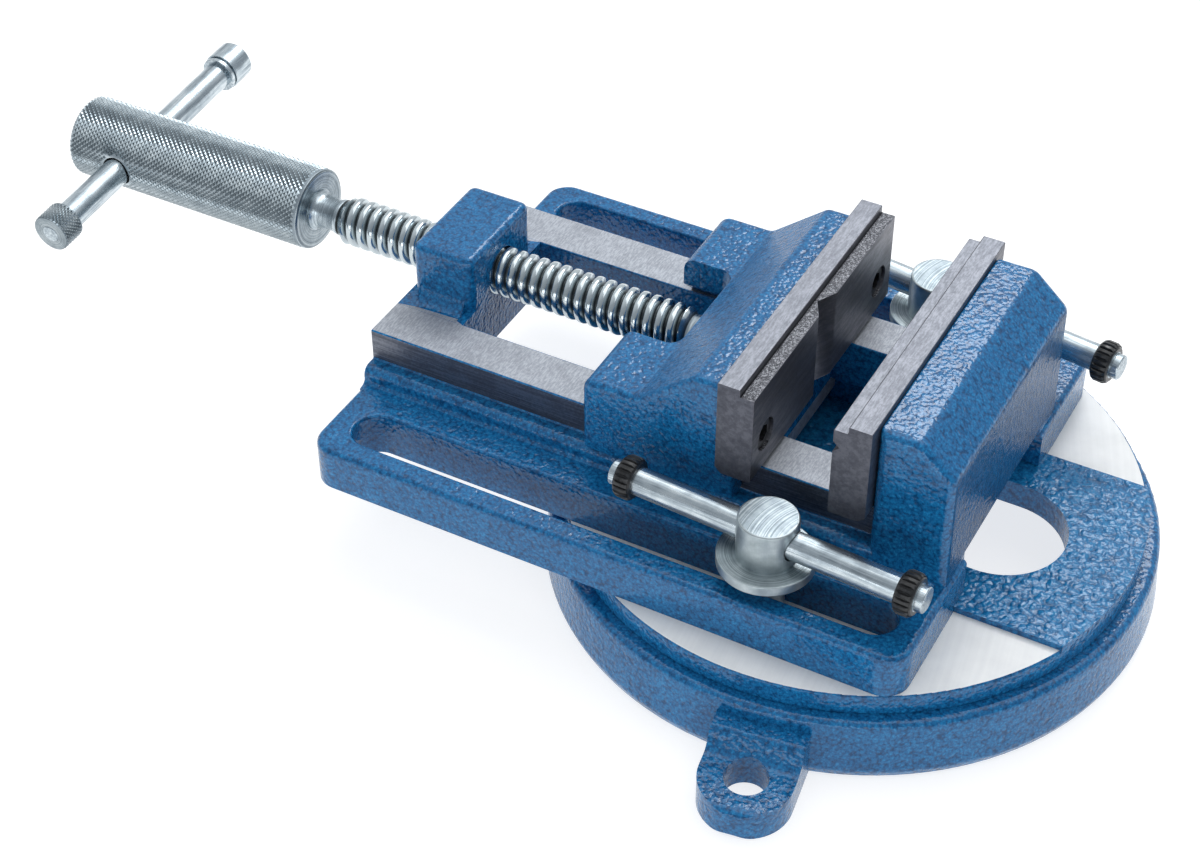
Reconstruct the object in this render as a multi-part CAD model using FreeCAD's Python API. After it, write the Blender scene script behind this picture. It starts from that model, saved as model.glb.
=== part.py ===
# A drill press vise with a 100 mm jaw, carried on a turntable that swivels in a round base.
# Frame: millimetres, +Z up, +X from the handle towards the fixed jaw. The origin is the swivel
# axis in the plane of the base's foot.
import FreeCAD
import Part
import math
import os
from FreeCAD import Vector as V

os.makedirs("parts", exist_ok=True)

# Clearances
SLIDE_GAP = 0.3            # beside a guided sliding face
RUN_GAP = 0.05             # on the radius of a shaft in its bearing
FACE_GAP = 0.1             # between faces that are drawn together only when clamped
HOLE_GAP = 0.2             # on the radius of a screw's shank
CUT_OVER = 1.0             # length by which a cutting shape stands out of what it cuts

# Widths of the jaws and rails. The bed's slots, the clamp bolts, the turntable and the base are
# placed outwards from these.
JAW_HALF_WIDTH = 50.0
PLATE_OVERHANG = 3.0       # jaw plate beyond the side of the moving jaw
SKIRT_WIDTH = 6.5          # side of the moving jaw that hangs beside its rail
RAIL_WIDTH = 15.85
LIP_OVERHANG = 6.65        # width of the rail lip above the tunnel
LEDGE_WIDTH = 5.7          # ledge beside each rail
GUIDE_INSET = 2.2          # turntable's guide inside the rails' outer sides
MOVING_HALF_WIDTH = JAW_HALF_WIDTH - PLATE_OVERHANG
RAIL_OUTER = MOVING_HALF_WIDTH - SKIRT_WIDTH - SLIDE_GAP
RAIL_INNER = RAIL_OUTER - RAIL_WIDTH
TUNNEL_HALF_WIDTH = RAIL_INNER + LIP_OVERHANG
LEDGE_HALF_WIDTH = RAIL_OUTER + LEDGE_WIDTH
FIXED_HALF_WIDTH = LEDGE_HALF_WIDTH
BOSS_HALF_WIDTH = RAIL_OUTER - GUIDE_INSET

# Clamping slots and bolts
SLOT_HALF = 7.2
SLOT_OFFSET = 18.2         # from the ledge to the slot's centre line
SLOT_MARGIN = 14.8         # from there to the edge of the bed
BOLT_OFFSET = 0.9          # the bolts stand this far inside the slots' centre lines
SLOT_Y = LEDGE_HALF_WIDTH + SLOT_OFFSET
BED_HALF_WIDTH = SLOT_Y + SLOT_MARGIN
BOLT_X = -1.0
BOLT_Y = SLOT_Y - BOLT_OFFSET
BOLT_SHANK = 6.0

# Swivel base
BASE_TOP = 21.0            # height of the ring face that carries the turntable
BOLT_TO_FLANGE = 10.8      # from a clamp bolt's axis to the clamping flange
FLANGE_REACH = 11.0        # clamping flange inside the ring wall
SKIRT_WALL = 10.7          # ring wall at its foot
RING_DRAFT = 1.5           # by which the ring is slimmer at its top edge
FLANGE_THICK = 9.0         # flange under which the clamp straps grip
RING_EDGE_ROUND = 2.4
RING_INNER = BOLT_Y + BOLT_TO_FLANGE
SKIRT_INNER = RING_INNER + FLANGE_REACH
FOOT_RADIUS = SKIRT_INNER + SKIRT_WALL
RING_RADIUS = FOOT_RADIUS - RING_DRAFT
FOOT_BAND = 3.0            # height of the plain band at the foot
FOOT_BREAK = 1.2           # broken edge under that band
EAR_ANGLE = -81.5          # direction of the first ear, degrees from +X
EAR_COUNT = 2
EAR_REACH = 15.8           # from the ring's top edge to the ear's hole
EAR_BOLT_CIRCLE = 2 * (RING_RADIUS + EAR_REACH)
EAR_HOLE_RADIUS = 6.6
EAR_HALF_WIDTH = 14.0
EAR_THICK = 10.0
EAR_ROOT_HEIGHT = 16.0
EAR_ROOT_REACH = 5.5       # flat of the root beyond the ring
EAR_ROOT_RUN = 4.5         # slope from the root down to the ear

# Turntable
TABLE_THICK = 7.0
TABLE_TOP = BASE_TOP + TABLE_THICK
TABLE_SETBACK = 4.4        # turntable's edge inside the ring's top edge
TABLE_RADIUS = RING_RADIUS - TABLE_SETBACK
BOSS_HEIGHT = 2.0          # of the raised guide that keeps the vise straight
SPIGOT_WALL = 3.5          # ring under the table that centres it in the base
SPIGOT_DEPTH = 6.0
DRILL_SLOT_HALF = 20.7     # half width of the slot that lets a drill through
DRILL_SLOT_LEFT = 8.0
DRILL_SLOT_MARGIN = 5.8    # from the slot's end to the base's opening
DRILL_SLOT_RIGHT = RING_INNER - DRILL_SLOT_MARGIN

# Vise bed
BED_LEFT = -148.4
BED_RIGHT = 48.2
BED_THICK = 15.0           # clamping flange of the bed
BED_CORNER = 8.0
BED_TOP_ROUND = 2.0
SLOT_END_LEFT = 8.4        # bed left standing beyond each end of a slot
SLOT_END_RIGHT = 7.7
SLOT_LEFT = BED_LEFT + SLOT_END_LEFT
SLOT_RIGHT = BED_RIGHT - SLOT_END_RIGHT
SLOT_LIP_ROUND = 1.0
LEDGE_RISE = 5.7           # from the flange to the ledge beside the rail
LEDGE_ROUND = 3.0
LEDGE_FOOT = 0.5           # height of the ledge's flared foot
LEDGE_FOOT_ROUND = 2.0
RAIL_RISE = 11.2           # from the ledge to the top of the rail
RAIL_LIP = 15.9            # depth of the rail lip that the keeper hooks under
RAIL_EDGE_ROUND = 0.5
LEDGE_HEIGHT = BED_THICK + LEDGE_RISE
RAIL_HEIGHT = LEDGE_HEIGHT + RAIL_RISE
LIP_UNDERSIDE = RAIL_HEIGHT - RAIL_LIP
ARCH_RISE = 1.6            # opening below the fixed jaw, above the rail lips' underside
CROSS_WALL_SINK = 2.8      # wall below the nut block, under that underside
ARCH_HEIGHT = LIP_UNDERSIDE + ARCH_RISE
CROSS_WALL_BOTTOM = LIP_UNDERSIDE - CROSS_WALL_SINK
CROSS_WALL_DROP = 0.02     # top of that wall below the rails

# Screw line and nut block
SCREW_RISE = 5.1           # screw axis above the rails
SCREW_AXIS = RAIL_HEIGHT + SCREW_RISE
NUT_INSET = 2.4            # nut block from the end of the bed
NUT_LENGTH = 21.5
NUT_HALF_WIDTH = 18.5
NUT_RISE = 14.8            # top of the nut block above the screw axis
NUT_CORNER = 2.8
NUT_TOP_ROUND = 2.2
NUT_FLARE = 5.2            # concave flare at the foot of the nut block
NUT_LEFT = BED_LEFT + NUT_INSET
NUT_RIGHT = NUT_LEFT + NUT_LENGTH
NUT_HEIGHT = SCREW_AXIS + NUT_RISE

# Jaw plates
PLATE_THICK = 11.4
PLATE_RISE = 1.7           # foot of a plate above the rails
PLATE_HEIGHT = 33.2
PLATE_BOTTOM = RAIL_HEIGHT + PLATE_RISE
PLATE_TOP = PLATE_BOTTOM + PLATE_HEIGHT
PLATE_CHAMFER = 2.0
PLATE_FOOT_ROUND = 0.8
PLATE_EDGE_ROUND = 0.3
WORK_LEDGE_DROP = 2.5      # step along the gripping edge that carries thin work
WORK_LEDGE_DEPTH = 4.4
VEE_HALF_WIDTH = 6.5       # upright vee in the moving plate, for round bars
VEE_DEPTH = 3.4
GROOVE_FROM_TOP = 8.6      # level vee in the fixed plate
GROOVE_HALF_WIDTH = 1.9
GROOVE_DEPTH = 2.0
GROOVE_HEIGHT = PLATE_TOP - GROOVE_FROM_TOP
FIXED_FACE = 11.2          # X of the fixed plate's gripping face
JAW_GAP = 24.3             # opening between the plates as shown
FIXED_BACK = FIXED_FACE + PLATE_THICK
MOVING_FACE = FIXED_FACE - JAW_GAP
MOVING_BACK = MOVING_FACE - PLATE_THICK
PLATE_SCREW_INSET = 9.4    # from the end of a plate
PLATE_SCREW_RISE = 11.8    # from its foot
PLATE_SCREW_Y = JAW_HALF_WIDTH - PLATE_SCREW_INSET
PLATE_SCREW_HEIGHT = PLATE_BOTTOM + PLATE_SCREW_RISE

# Fixed jaw
FIXED_DROP = 2.0           # top of the casting below its plate's
FIXED_HEIGHT = PLATE_TOP - FIXED_DROP
FIXED_TOP_LENGTH = 12.4    # flat top behind the plate, up to the sloped face
FIXED_SLOPE_DROP = 10.2    # height of the sloped face
FIXED_SLOPE_START = FIXED_BACK + FIXED_TOP_LENGTH
FIXED_SLOPE_END = FIXED_HEIGHT - FIXED_SLOPE_DROP
FIXED_SETBACK = 0.8        # back of the jaw stands inside the end of the bed
RAIL_SETBACK = 4.2         # rails end inside the jaw, this far before the end of the bed
FIXED_LEAN = 1.1           # by which the back leans in up to the sloped face
FIXED_FOOT = BED_RIGHT - FIXED_SETBACK
RAIL_END = BED_RIGHT - RAIL_SETBACK
FIXED_BACK_TOP = FIXED_FOOT - FIXED_LEAN
FIXED_ROUND = 3.0
FIXED_TOP_ROUND = 5.0
FIXED_SLOPE_ROUND = 4.0
FIXED_PLATE_ROUND = 0.6

# Socket head screws that hold the plates and the keeper
SCREW_SHANK = 3.0
SCREW_HEAD = 4.9
SCREW_HEAD_HEIGHT = 6.0
LOW_HEAD_HEIGHT = 3.4      # keeper screws, sunk in the keeper
SCREW_LENGTH = 20.0
SOCKET_ACROSS_FLATS = 5.0
SOCKET_SHARE = 0.55        # socket's depth as a share of the head's height
HEAD_CLEARANCE = 0.35
HEAD_SINK = 0.8            # head of a plate screw below the gripping face
TAP_OVER = 2.0             # tapped hole beyond the screw's end
PLATE_SEAT = SCREW_HEAD_HEIGHT + HEAD_SINK # counterbore's seat below the gripping face
PLATE_GRIP = SCREW_LENGTH - (PLATE_THICK - PLATE_SEAT) + TAP_OVER

# Moving jaw
JAW_DROP = 3.8             # top of the casting below its plate's
JAW_TOP = PLATE_TOP - JAW_DROP
JAW_TOP_LENGTH = 9.0       # flat top behind the plate, down to the ramp
RAMP_LENGTH = 18.5
ARM_LENGTH = 18.0          # two arms that stand out beside the screw
ARM_HEIGHT = 48.0
ARM_CLEARANCE = 1.5        # beside the nut block when the jaw is drawn back over it
ARM_INNER = NUT_HALF_WIDTH + ARM_CLEARANCE
ARM_ROUND = 4.0
ARM_INNER_ROUND = 5.0      # upright round where each arm leaves the wall
RAMP_FOOT_ROUND = 5.0      # hollow where the ramp leaves the arms
JAW_EDGE_ROUND = 2.4
FLARE_CLEARANCE = 1.8      # between the nut block's flare and the arms' relief
ARM_RELIEF = NUT_FLARE + FLARE_CLEARANCE
RELIEF_TAIL = 2.0          # the relief ends this far before the wall
SKIRT_RISE = 1.6           # foot of the skirt above the ledge
SKIRT_BOTTOM = LEDGE_HEIGHT + SKIRT_RISE
SKIRT_FRONT_ROUND = 1.0
JAW_SHELF = 4.6            # foot of the jaw that stands out under its plate
RAMP_TOP_X = MOVING_BACK - JAW_TOP_LENGTH
WALL_X = RAMP_TOP_X - RAMP_LENGTH          # face between the arms that takes the screw
MOVING_LEFT = WALL_X - ARM_LENGTH
TONGUE_FROM_WALL = 2.0
TONGUE_LEFT = WALL_X + TONGUE_FROM_WALL
TONGUE_HALF = RAIL_INNER - SLIDE_GAP
KEEPER_THICK = 6.0
KEEPER_TOP = LIP_UNDERSIDE - FACE_GAP
KEEPER_SIDE_GAP = 1.0
KEEPER_CORNER = 2.0
KEEPER_SCREW_INSET = 6.5   # before the plate's back
KEEPER_SCREW_X = MOVING_BACK - KEEPER_SCREW_INSET

# Lead screw and retaining pin
THREAD_RADIUS = 8.0
THREAD_TO_WALL = 5.0
THREAD_RIGHT = WALL_X - THREAD_TO_WALL
THREAD_END_RUN = 2.5       # cone at the thread's outer end
SHOULDER_RISE = 1.0        # of the shoulder that bears on the jaw's wall
JOURNAL_RADIUS = 5.5
JOURNAL_LENGTH = 22.0
JOURNAL_RIGHT = WALL_X + JOURNAL_LENGTH
PIN_RADIUS = 2.0
PIN_FROM_WALL = 12.0
PIN_X = WALL_X + PIN_FROM_WALL
PIN_CHAMFER = 0.4
PIN_OVER = 3.0             # pin beyond the journal
GROOVE_DEEP = 1.8          # retaining groove in the journal
SHOULDER_X = WALL_X - FACE_GAP
PIN_Y = JOURNAL_RADIUS - GROOVE_DEEP + PIN_RADIUS + RUN_GAP
PIN_LENGTH = SCREW_AXIS - KEEPER_TOP + JOURNAL_RADIUS + PIN_OVER
KEEPER_SCREW_Y = (JOURNAL_RADIUS + TONGUE_HALF) / 2

# Handle
HUB_TO_BED = 45.5          # length of screw in view between the hub and the bed
HUB_LENGTH = 92.5
HUB_RADIUS = 13.7
HUB_END_CHAMFER = 2.0
HUB_CHAMFER = 1.2
HUB_BORE_DEPTH = 18.0
HUB_TO_THREAD = 10.9
HUB_RIGHT = BED_LEFT - HUB_TO_BED
HUB_LEFT = HUB_RIGHT - HUB_LENGTH
THREAD_LEFT = HUB_RIGHT + HUB_TO_THREAD
BAR_FROM_END = 19.6        # tommy bar's axis from the hub's outer end
BAR_X = HUB_LEFT + BAR_FROM_END
BAR_TILT = 4.35            # degrees, the near end hangs lower
BAR_RADIUS = 4.75
BAR_NEAR = 49.0            # end face of the knob, from the screw axis
KNOB_RADIUS = 6.6
KNOB_LENGTH = 8.6
KNOB_SPIGOT = 3.0
KNOB_EDGE = 0.6
PEEN_HEIGHT = 0.3          # spigot peened over the knob's end face
BAR_FAR = 57.6
BAR_HEAD_RADIUS = 6.7
BAR_HEAD_LENGTH = 9.0
BAR_COLLAR_LENGTH = 1.6
BAR_COLLAR_RADIUS = 6.3
BAR_GROOVE_WIDTH = 0.6     # groove between the collar and the head
BAR_GROOVE_RADIUS = 5.5

# Clamp bolts' heads, their bars and the straps that they pull up
BOLT_SLACK = 4.6           # bolt's flange above the bed, shown slackened
BOLT_SEAT = BED_THICK + BOLT_SLACK
BOLT_HEAD_RADIUS = 9.0
BOLT_FLANGE_WIDTH = 5.6
BOLT_FLANGE_RADIUS = BOLT_HEAD_RADIUS + BOLT_FLANGE_WIDTH
BOLT_FLANGE_THICK = 3.5
BOLT_FLANGE_EDGE = 0.4
BOLT_HEAD_HEIGHT = 13.8
BOLT_HEAD_EDGE = 0.7
BOLT_END = 3.0             # lowest point of the bolt above the foot
BOLT_FLANGE_TOP = BOLT_SEAT + BOLT_FLANGE_THICK
BOLT_TOP = BOLT_FLANGE_TOP + BOLT_HEAD_HEIGHT
CLAMP_BAR_HEIGHT = BOLT_FLANGE_TOP + BOLT_HEAD_HEIGHT / 2
CLAMP_BAR_RADIUS = 4.35
CLAMP_BAR_HALF = 50.5
CLAMP_STUB_STEP = 0.35     # stub slimmer than the bar
CLAMP_STUB_RADIUS = CLAMP_BAR_RADIUS - CLAMP_STUB_STEP
RING_WALL = 2.05
RING_OUTER = CLAMP_BAR_RADIUS + RING_WALL
RING_WIDTH = 5.6
RING_ROUND = 0.8
RING_SETBACK = 2.6         # bar left bare beyond the ring
FRONT_BAR_TURN = -3.5      # degrees from the line of the bed
REAR_BAR_TURN = -7.5       # degrees likewise
FRONT_BAR_SHIFT = -0.5
REAR_BAR_SHIFT = 14.0
STRAP_THICK = 7.0
STRAP_HALF_WIDTH = 9.0
STRAP_TAIL = 10.2          # from the bolt's axis to the strap's heel end
STRAP_CLEARANCE = 4.0      # from the strap's nose to the ring wall
STRAP_INNER = BOLT_Y - STRAP_TAIL
STRAP_OUTER = SKIRT_INNER - STRAP_CLEARANCE
STRAP_HEEL = 6.0

X_AXIS = V(1, 0, 0)
Y_AXIS = V(0, 1, 0)
Z_AXIS = V(0, 0, 1)


def box(x0, x1, y0, y1, z0, z1):
    return Part.makeBox(x1 - x0, y1 - y0, z1 - z0, V(x0, y0, z0))


def rod(start, direction, radius, length):
    return Part.makeCylinder(radius, length, start, direction)


def outline(points, place):
    """Closed wire through (a, b, round) corners; place turns (a, b) into a point in space."""
    count = len(points)
    edges = []
    last = None
    first = None
    for i, (a, b, r) in enumerate(points):
        here = place(a, b)
        if r == 0:
            start, end = here, here
        else:
            before = (place(*points[i - 1][:2]) - here).normalize()
            after = (place(*points[(i + 1) % count][:2]) - here).normalize()
            half = math.acos(max(-1.0, min(1.0, before.dot(after)))) / 2
            run = r / math.tan(half)
            start, end = here + before * run, here + after * run
            middle = (before + after).normalize()
            centre = here + middle * (r / math.sin(half))
            edges.append(("arc", start, centre - middle * r, end))
        if last is not None and last.distanceToPoint(start) > 1e-6:
            edges.append(("line", last, start))
        if first is None:
            first = start
        last = end
    if last.distanceToPoint(first) > 1e-6:
        edges.append(("line", last, first))
    made = [Part.Arc(*e[1:]).toShape() if e[0] == "arc" else Part.LineSegment(*e[1:]).toShape()
            for e in edges]
    return Part.Wire(Part.__sortEdges__(made))


def prism_x(points, x0, x1):
    """Outline of (y, z, round) corners, drawn out along X."""
    return Part.Face(outline(points, lambda a, b: V(x0, a, b))).extrude(V(x1 - x0, 0, 0))


def prism_y(points, y0, y1):
    """Outline of (x, z, round) corners, drawn out along Y."""
    return Part.Face(outline(points, lambda a, b: V(a, y0, b))).extrude(V(0, y1 - y0, 0))


def prism_z(points, z0, z1):
    """Outline of (x, y, round) corners, drawn out along Z."""
    return Part.Face(outline(points, lambda a, b: V(a, b, z0))).extrude(V(0, 0, z1 - z0))


def turned(points, start, direction):
    """Solid of revolution from (distance along the axis, radius, round) corners."""
    side = V(0, 0, 1) if abs(direction.z) < 0.9 else V(1, 0, 0)
    side = (side - direction * side.dot(direction)).normalize()
    wire = outline(points, lambda a, b: start + direction * a + side * b)
    return Part.Face(wire).revolve(start, direction, 360)


def stadium(x0, x1, y, half, z0, z1):
    """Upright slot with full round ends; x0 and x1 are its extreme points."""
    body = box(x0 + half, x1 - half, y - half, y + half, z0, z1)
    for x in (x0 + half, x1 - half):
        body = body.fuse(rod(V(x, y, z0), Z_AXIS, half, z1 - z0))
    return body.removeSplitter()


def mirrored(shape):
    return shape.mirror(V(0, 0, 0), Y_AXIS)


def fuse_all(shapes):
    whole = shapes[0]
    for shape in shapes[1:]:
        whole = whole.fuse(shape)
    return whole.removeSplitter()


def edges_where(shape, test):
    """Edges of which every sampled point passes the test."""
    picked = []
    for edge in shape.Edges:
        if edge.Length > 0.5 and all(test(p) for p in edge.discretize(3)):
            picked.append(edge)
    return picked


def raise_to_table(shape):
    """Parts of the vise proper are drawn from the turntable's top face upwards."""
    return shape.translated(V(0, 0, TABLE_TOP))


def save(name, shape):
    shape = shape.removeSplitter() if len(shape.Solids) == 1 else shape
    if not shape.isValid():
        print("not valid:", name)
    shape.exportStep("parts/" + name + ".step")
    print("%-22s solids %d  volume %9.1f mm3" % (name, len(shape.Solids), shape.Volume))


def swivel_base():
    ring = turned([
        (BASE_TOP, RING_INNER, 0.6), (BASE_TOP, RING_RADIUS, RING_EDGE_ROUND),
        (FOOT_BAND, FOOT_RADIUS, 4.0), (0, FOOT_RADIUS - FOOT_BREAK, 0.5),
        (0, SKIRT_INNER, 0.5), (BASE_TOP - FLANGE_THICK, SKIRT_INNER, 3.0),
        (BASE_TOP - FLANGE_THICK, RING_INNER, 1.0)], V(0, 0, 0), Z_AXIS)
    hole_at = EAR_BOLT_CIRCLE / 2
    root_end = RING_RADIUS + EAR_ROOT_REACH
    tip = hole_at + EAR_HALF_WIDTH
    inner = SKIRT_INNER + CUT_OVER
    for i in range(EAR_COUNT):
        side = prism_y([
            (inner, 0, 0), (tip, 0, 1.5), (tip, EAR_THICK, 2.5),
            (root_end + EAR_ROOT_RUN, EAR_THICK, 4.0), (root_end, EAR_ROOT_HEIGHT, 2.0),
            (inner, EAR_ROOT_HEIGHT, 0)], -EAR_HALF_WIDTH - CUT_OVER, EAR_HALF_WIDTH + CUT_OVER)
        plan = stadium(inner - EAR_HALF_WIDTH, tip, 0, EAR_HALF_WIDTH, -CUT_OVER, BASE_TOP)
        ear = side.common(plan)
        ear = ear.cut(rod(V(0, 0, -CUT_OVER), Z_AXIS, SKIRT_INNER + CUT_OVER / 2,
                          BASE_TOP + 2 * CUT_OVER))
        ear.rotate(V(0, 0, 0), Z_AXIS, EAR_ANGLE + 360.0 / EAR_COUNT * i)
        ring = ring.fuse(ear)
    for i in range(EAR_COUNT):
        angle = math.radians(EAR_ANGLE + 360.0 / EAR_COUNT * i)
        foot = V(hole_at * math.cos(angle), hole_at * math.sin(angle), -CUT_OVER)
        ring = ring.cut(rod(foot, Z_AXIS, EAR_HOLE_RADIUS, EAR_ROOT_HEIGHT + 2 * CUT_OVER))
    return ring.removeSplitter()


def turntable():
    spigot_outer = RING_INNER - RUN_GAP
    disc = turned([
        (0, 0, 0), (TABLE_TOP - BASE_TOP, 0, 0), (TABLE_THICK, TABLE_RADIUS, 0.6),
        (0, TABLE_RADIUS, 0.4), (0, spigot_outer, 0), (-SPIGOT_DEPTH, spigot_outer, 0.5),
        (-SPIGOT_DEPTH, spigot_outer - SPIGOT_WALL, 0.5), (0, spigot_outer - SPIGOT_WALL, 0)],
        V(0, 0, BASE_TOP), Z_AXIS)
    boss = box(-TABLE_RADIUS, TABLE_RADIUS, -BOSS_HALF_WIDTH, BOSS_HALF_WIDTH,
               TABLE_TOP - CUT_OVER, TABLE_TOP + BOSS_HEIGHT)
    boss = boss.common(rod(V(0, 0, 0), Z_AXIS, TABLE_RADIUS, TABLE_TOP + BOSS_HEIGHT + CUT_OVER))
    table = disc.fuse(boss)
    table = table.cut(stadium(DRILL_SLOT_LEFT, DRILL_SLOT_RIGHT, 0, DRILL_SLOT_HALF, 0,
                              TABLE_TOP + BOSS_HEIGHT + CUT_OVER))
    for side in (-1, 1):
        table = table.cut(rod(V(BOLT_X, side * BOLT_Y, 0), Z_AXIS, BOLT_SHANK + RUN_GAP,
                              TABLE_TOP + CUT_OVER))
    return table


def clamp_strap(side):
    """Strap under the table: its heel bears on the table and its nose grips the base flange."""
    top = BASE_TOP - FLANGE_THICK - FACE_GAP
    bottom = top - STRAP_THICK
    points = [
        (STRAP_INNER, bottom, 1.5), (STRAP_OUTER, bottom, 2.5), (STRAP_OUTER, top, 0.5),
        (STRAP_INNER + STRAP_HEEL, top, 2.0), (STRAP_INNER + STRAP_HEEL, BASE_TOP, 1.0),
        (STRAP_INNER, BASE_TOP, 1.0)]
    strap = prism_x(points, BOLT_X - STRAP_HALF_WIDTH, BOLT_X + STRAP_HALF_WIDTH)
    strap = strap.cut(rod(V(BOLT_X, BOLT_Y, 0), Z_AXIS, BOLT_SHANK + RUN_GAP, BASE_TOP))
    return strap if side > 0 else mirrored(strap)


def vise_bed():
    # Flange plate with rounded corners, a softened top edge and the two clamping slots.
    plate = prism_z([
        (BED_LEFT, -BED_HALF_WIDTH, BED_CORNER), (BED_RIGHT, -BED_HALF_WIDTH, BED_CORNER),
        (BED_RIGHT, BED_HALF_WIDTH, BED_CORNER), (BED_LEFT, BED_HALF_WIDTH, BED_CORNER)],
        0, BED_THICK)
    rim = edges_where(plate, lambda p: abs(p.z - BED_THICK) < 1e-4)
    plate = plate.makeFillet(BED_TOP_ROUND, rim)
    for side in (-1, 1):
        plate = plate.cut(stadium(SLOT_LEFT, SLOT_RIGHT, side * SLOT_Y, SLOT_HALF, -CUT_OVER,
                                  BED_THICK + CUT_OVER))
    lips = edges_where(plate, lambda p: abs(p.z - BED_THICK) < 1e-4
                       and SLOT_LEFT - 1 < p.x < SLOT_RIGHT + 1
                       and abs(abs(p.y) - SLOT_Y) < SLOT_HALF + 0.1)
    plate = plate.makeFillet(SLOT_LIP_ROUND, lips)
    # Rails with their ledges, one section drawn along the bed.
    rail = prism_x([
        (RAIL_INNER, 0, 0), (LEDGE_HALF_WIDTH + LEDGE_ROUND, 0, 0),
        (LEDGE_HALF_WIDTH + LEDGE_ROUND, BED_THICK - LEDGE_FOOT, 0),
        (LEDGE_HALF_WIDTH, BED_THICK, LEDGE_FOOT_ROUND),
        (LEDGE_HALF_WIDTH, LEDGE_HEIGHT, LEDGE_ROUND), (RAIL_OUTER, LEDGE_HEIGHT, 0.6),
        (RAIL_OUTER, RAIL_HEIGHT, RAIL_EDGE_ROUND), (RAIL_INNER, RAIL_HEIGHT, RAIL_EDGE_ROUND)],
        BED_LEFT, RAIL_END)
    core = fuse_all([plate, rail, mirrored(rail)])
    # Open space between the rails, and the wider tunnel under their lips.
    left, right = BED_LEFT - CUT_OVER, BED_RIGHT + CUT_OVER
    core = core.cut(box(left, right, -RAIL_INNER, RAIL_INNER, -CUT_OVER, BED_THICK + CUT_OVER))
    core = core.cut(box(left, right, -TUNNEL_HALF_WIDTH, TUNNEL_HALF_WIDTH, -CUT_OVER,
                        LIP_UNDERSIDE))
    # Fixed jaw with its sloped back.
    jaw = prism_y([
        (FIXED_BACK, CUT_OVER, 0), (FIXED_FOOT, CUT_OVER, 0),
        (FIXED_BACK_TOP, FIXED_SLOPE_END, FIXED_SLOPE_ROUND),
        (FIXED_SLOPE_START, FIXED_HEIGHT, FIXED_TOP_ROUND),
        (FIXED_BACK, FIXED_HEIGHT, FIXED_PLATE_ROUND)], -FIXED_HALF_WIDTH, FIXED_HALF_WIDTH)
    corners = edges_where(jaw, lambda p: abs(abs(p.y) - FIXED_HALF_WIDTH) < 1e-4
                          and p.x > FIXED_BACK + FIXED_PLATE_ROUND / 2 and p.z > CUT_OVER + 0.5
                          or abs(abs(p.y) - FIXED_HALF_WIDTH) < 1e-4 and p.x > FIXED_BACK_TOP - 0.1
                          and p.z < FIXED_SLOPE_END)
    jaw = jaw.makeFillet(FIXED_ROUND, corners)
    jaw = jaw.cut(box(FIXED_BACK - CUT_OVER, BED_RIGHT, -TUNNEL_HALF_WIDTH, TUNNEL_HALF_WIDTH,
                      -CUT_OVER, ARCH_HEIGHT))
    core = core.fuse(jaw)
    # Cross wall and nut block.
    wall = box(BED_LEFT, NUT_RIGHT, -RAIL_INNER - CUT_OVER, RAIL_INNER + CUT_OVER, CROSS_WALL_BOTTOM,
               RAIL_HEIGHT - CROSS_WALL_DROP)
    block = prism_z([
        (NUT_LEFT, -NUT_HALF_WIDTH, NUT_CORNER), (NUT_RIGHT, -NUT_HALF_WIDTH, NUT_CORNER),
        (NUT_RIGHT, NUT_HALF_WIDTH, NUT_CORNER), (NUT_LEFT, NUT_HALF_WIDTH, NUT_CORNER)],
        CROSS_WALL_BOTTOM, NUT_HEIGHT)
    crown = edges_where(block, lambda p: abs(p.z - NUT_HEIGHT) < 1e-4)
    block = block.makeFillet(NUT_TOP_ROUND, crown)
    core_half = NUT_HALF_WIDTH - 2 * CUT_OVER
    spread = NUT_HALF_WIDTH + NUT_FLARE
    foot = RAIL_HEIGHT + NUT_FLARE
    flare = prism_x([
        (core_half, RAIL_HEIGHT - CUT_OVER, 0), (spread, RAIL_HEIGHT - CUT_OVER, 0),
        (spread, RAIL_HEIGHT, 0), (NUT_HALF_WIDTH, RAIL_HEIGHT, NUT_FLARE - 0.1),
        (NUT_HALF_WIDTH, foot, 0), (core_half, foot, 0)],
        NUT_LEFT + NUT_CORNER, NUT_RIGHT - NUT_CORNER)
    block = fuse_all([block, flare, mirrored(flare)])
    core = fuse_all([core, wall, block])
    # Threaded bore, channel over the turntable's guide, and the tapped plate holes.
    core = core.cut(rod(V(left, 0, SCREW_AXIS), X_AXIS, THREAD_RADIUS + RUN_GAP,
                        NUT_RIGHT + CUT_OVER - left))
    half = BOSS_HALF_WIDTH + SLIDE_GAP
    core = core.cut(box(left, right, -half, half, -CUT_OVER, BOSS_HEIGHT + SLIDE_GAP))
    for side in (-1, 1):
        core = core.cut(rod(V(FIXED_BACK - CUT_OVER, side * PLATE_SCREW_Y, PLATE_SCREW_HEIGHT), X_AXIS,
                            SCREW_SHANK, CUT_OVER + PLATE_GRIP))
    return raise_to_table(core)


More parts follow.
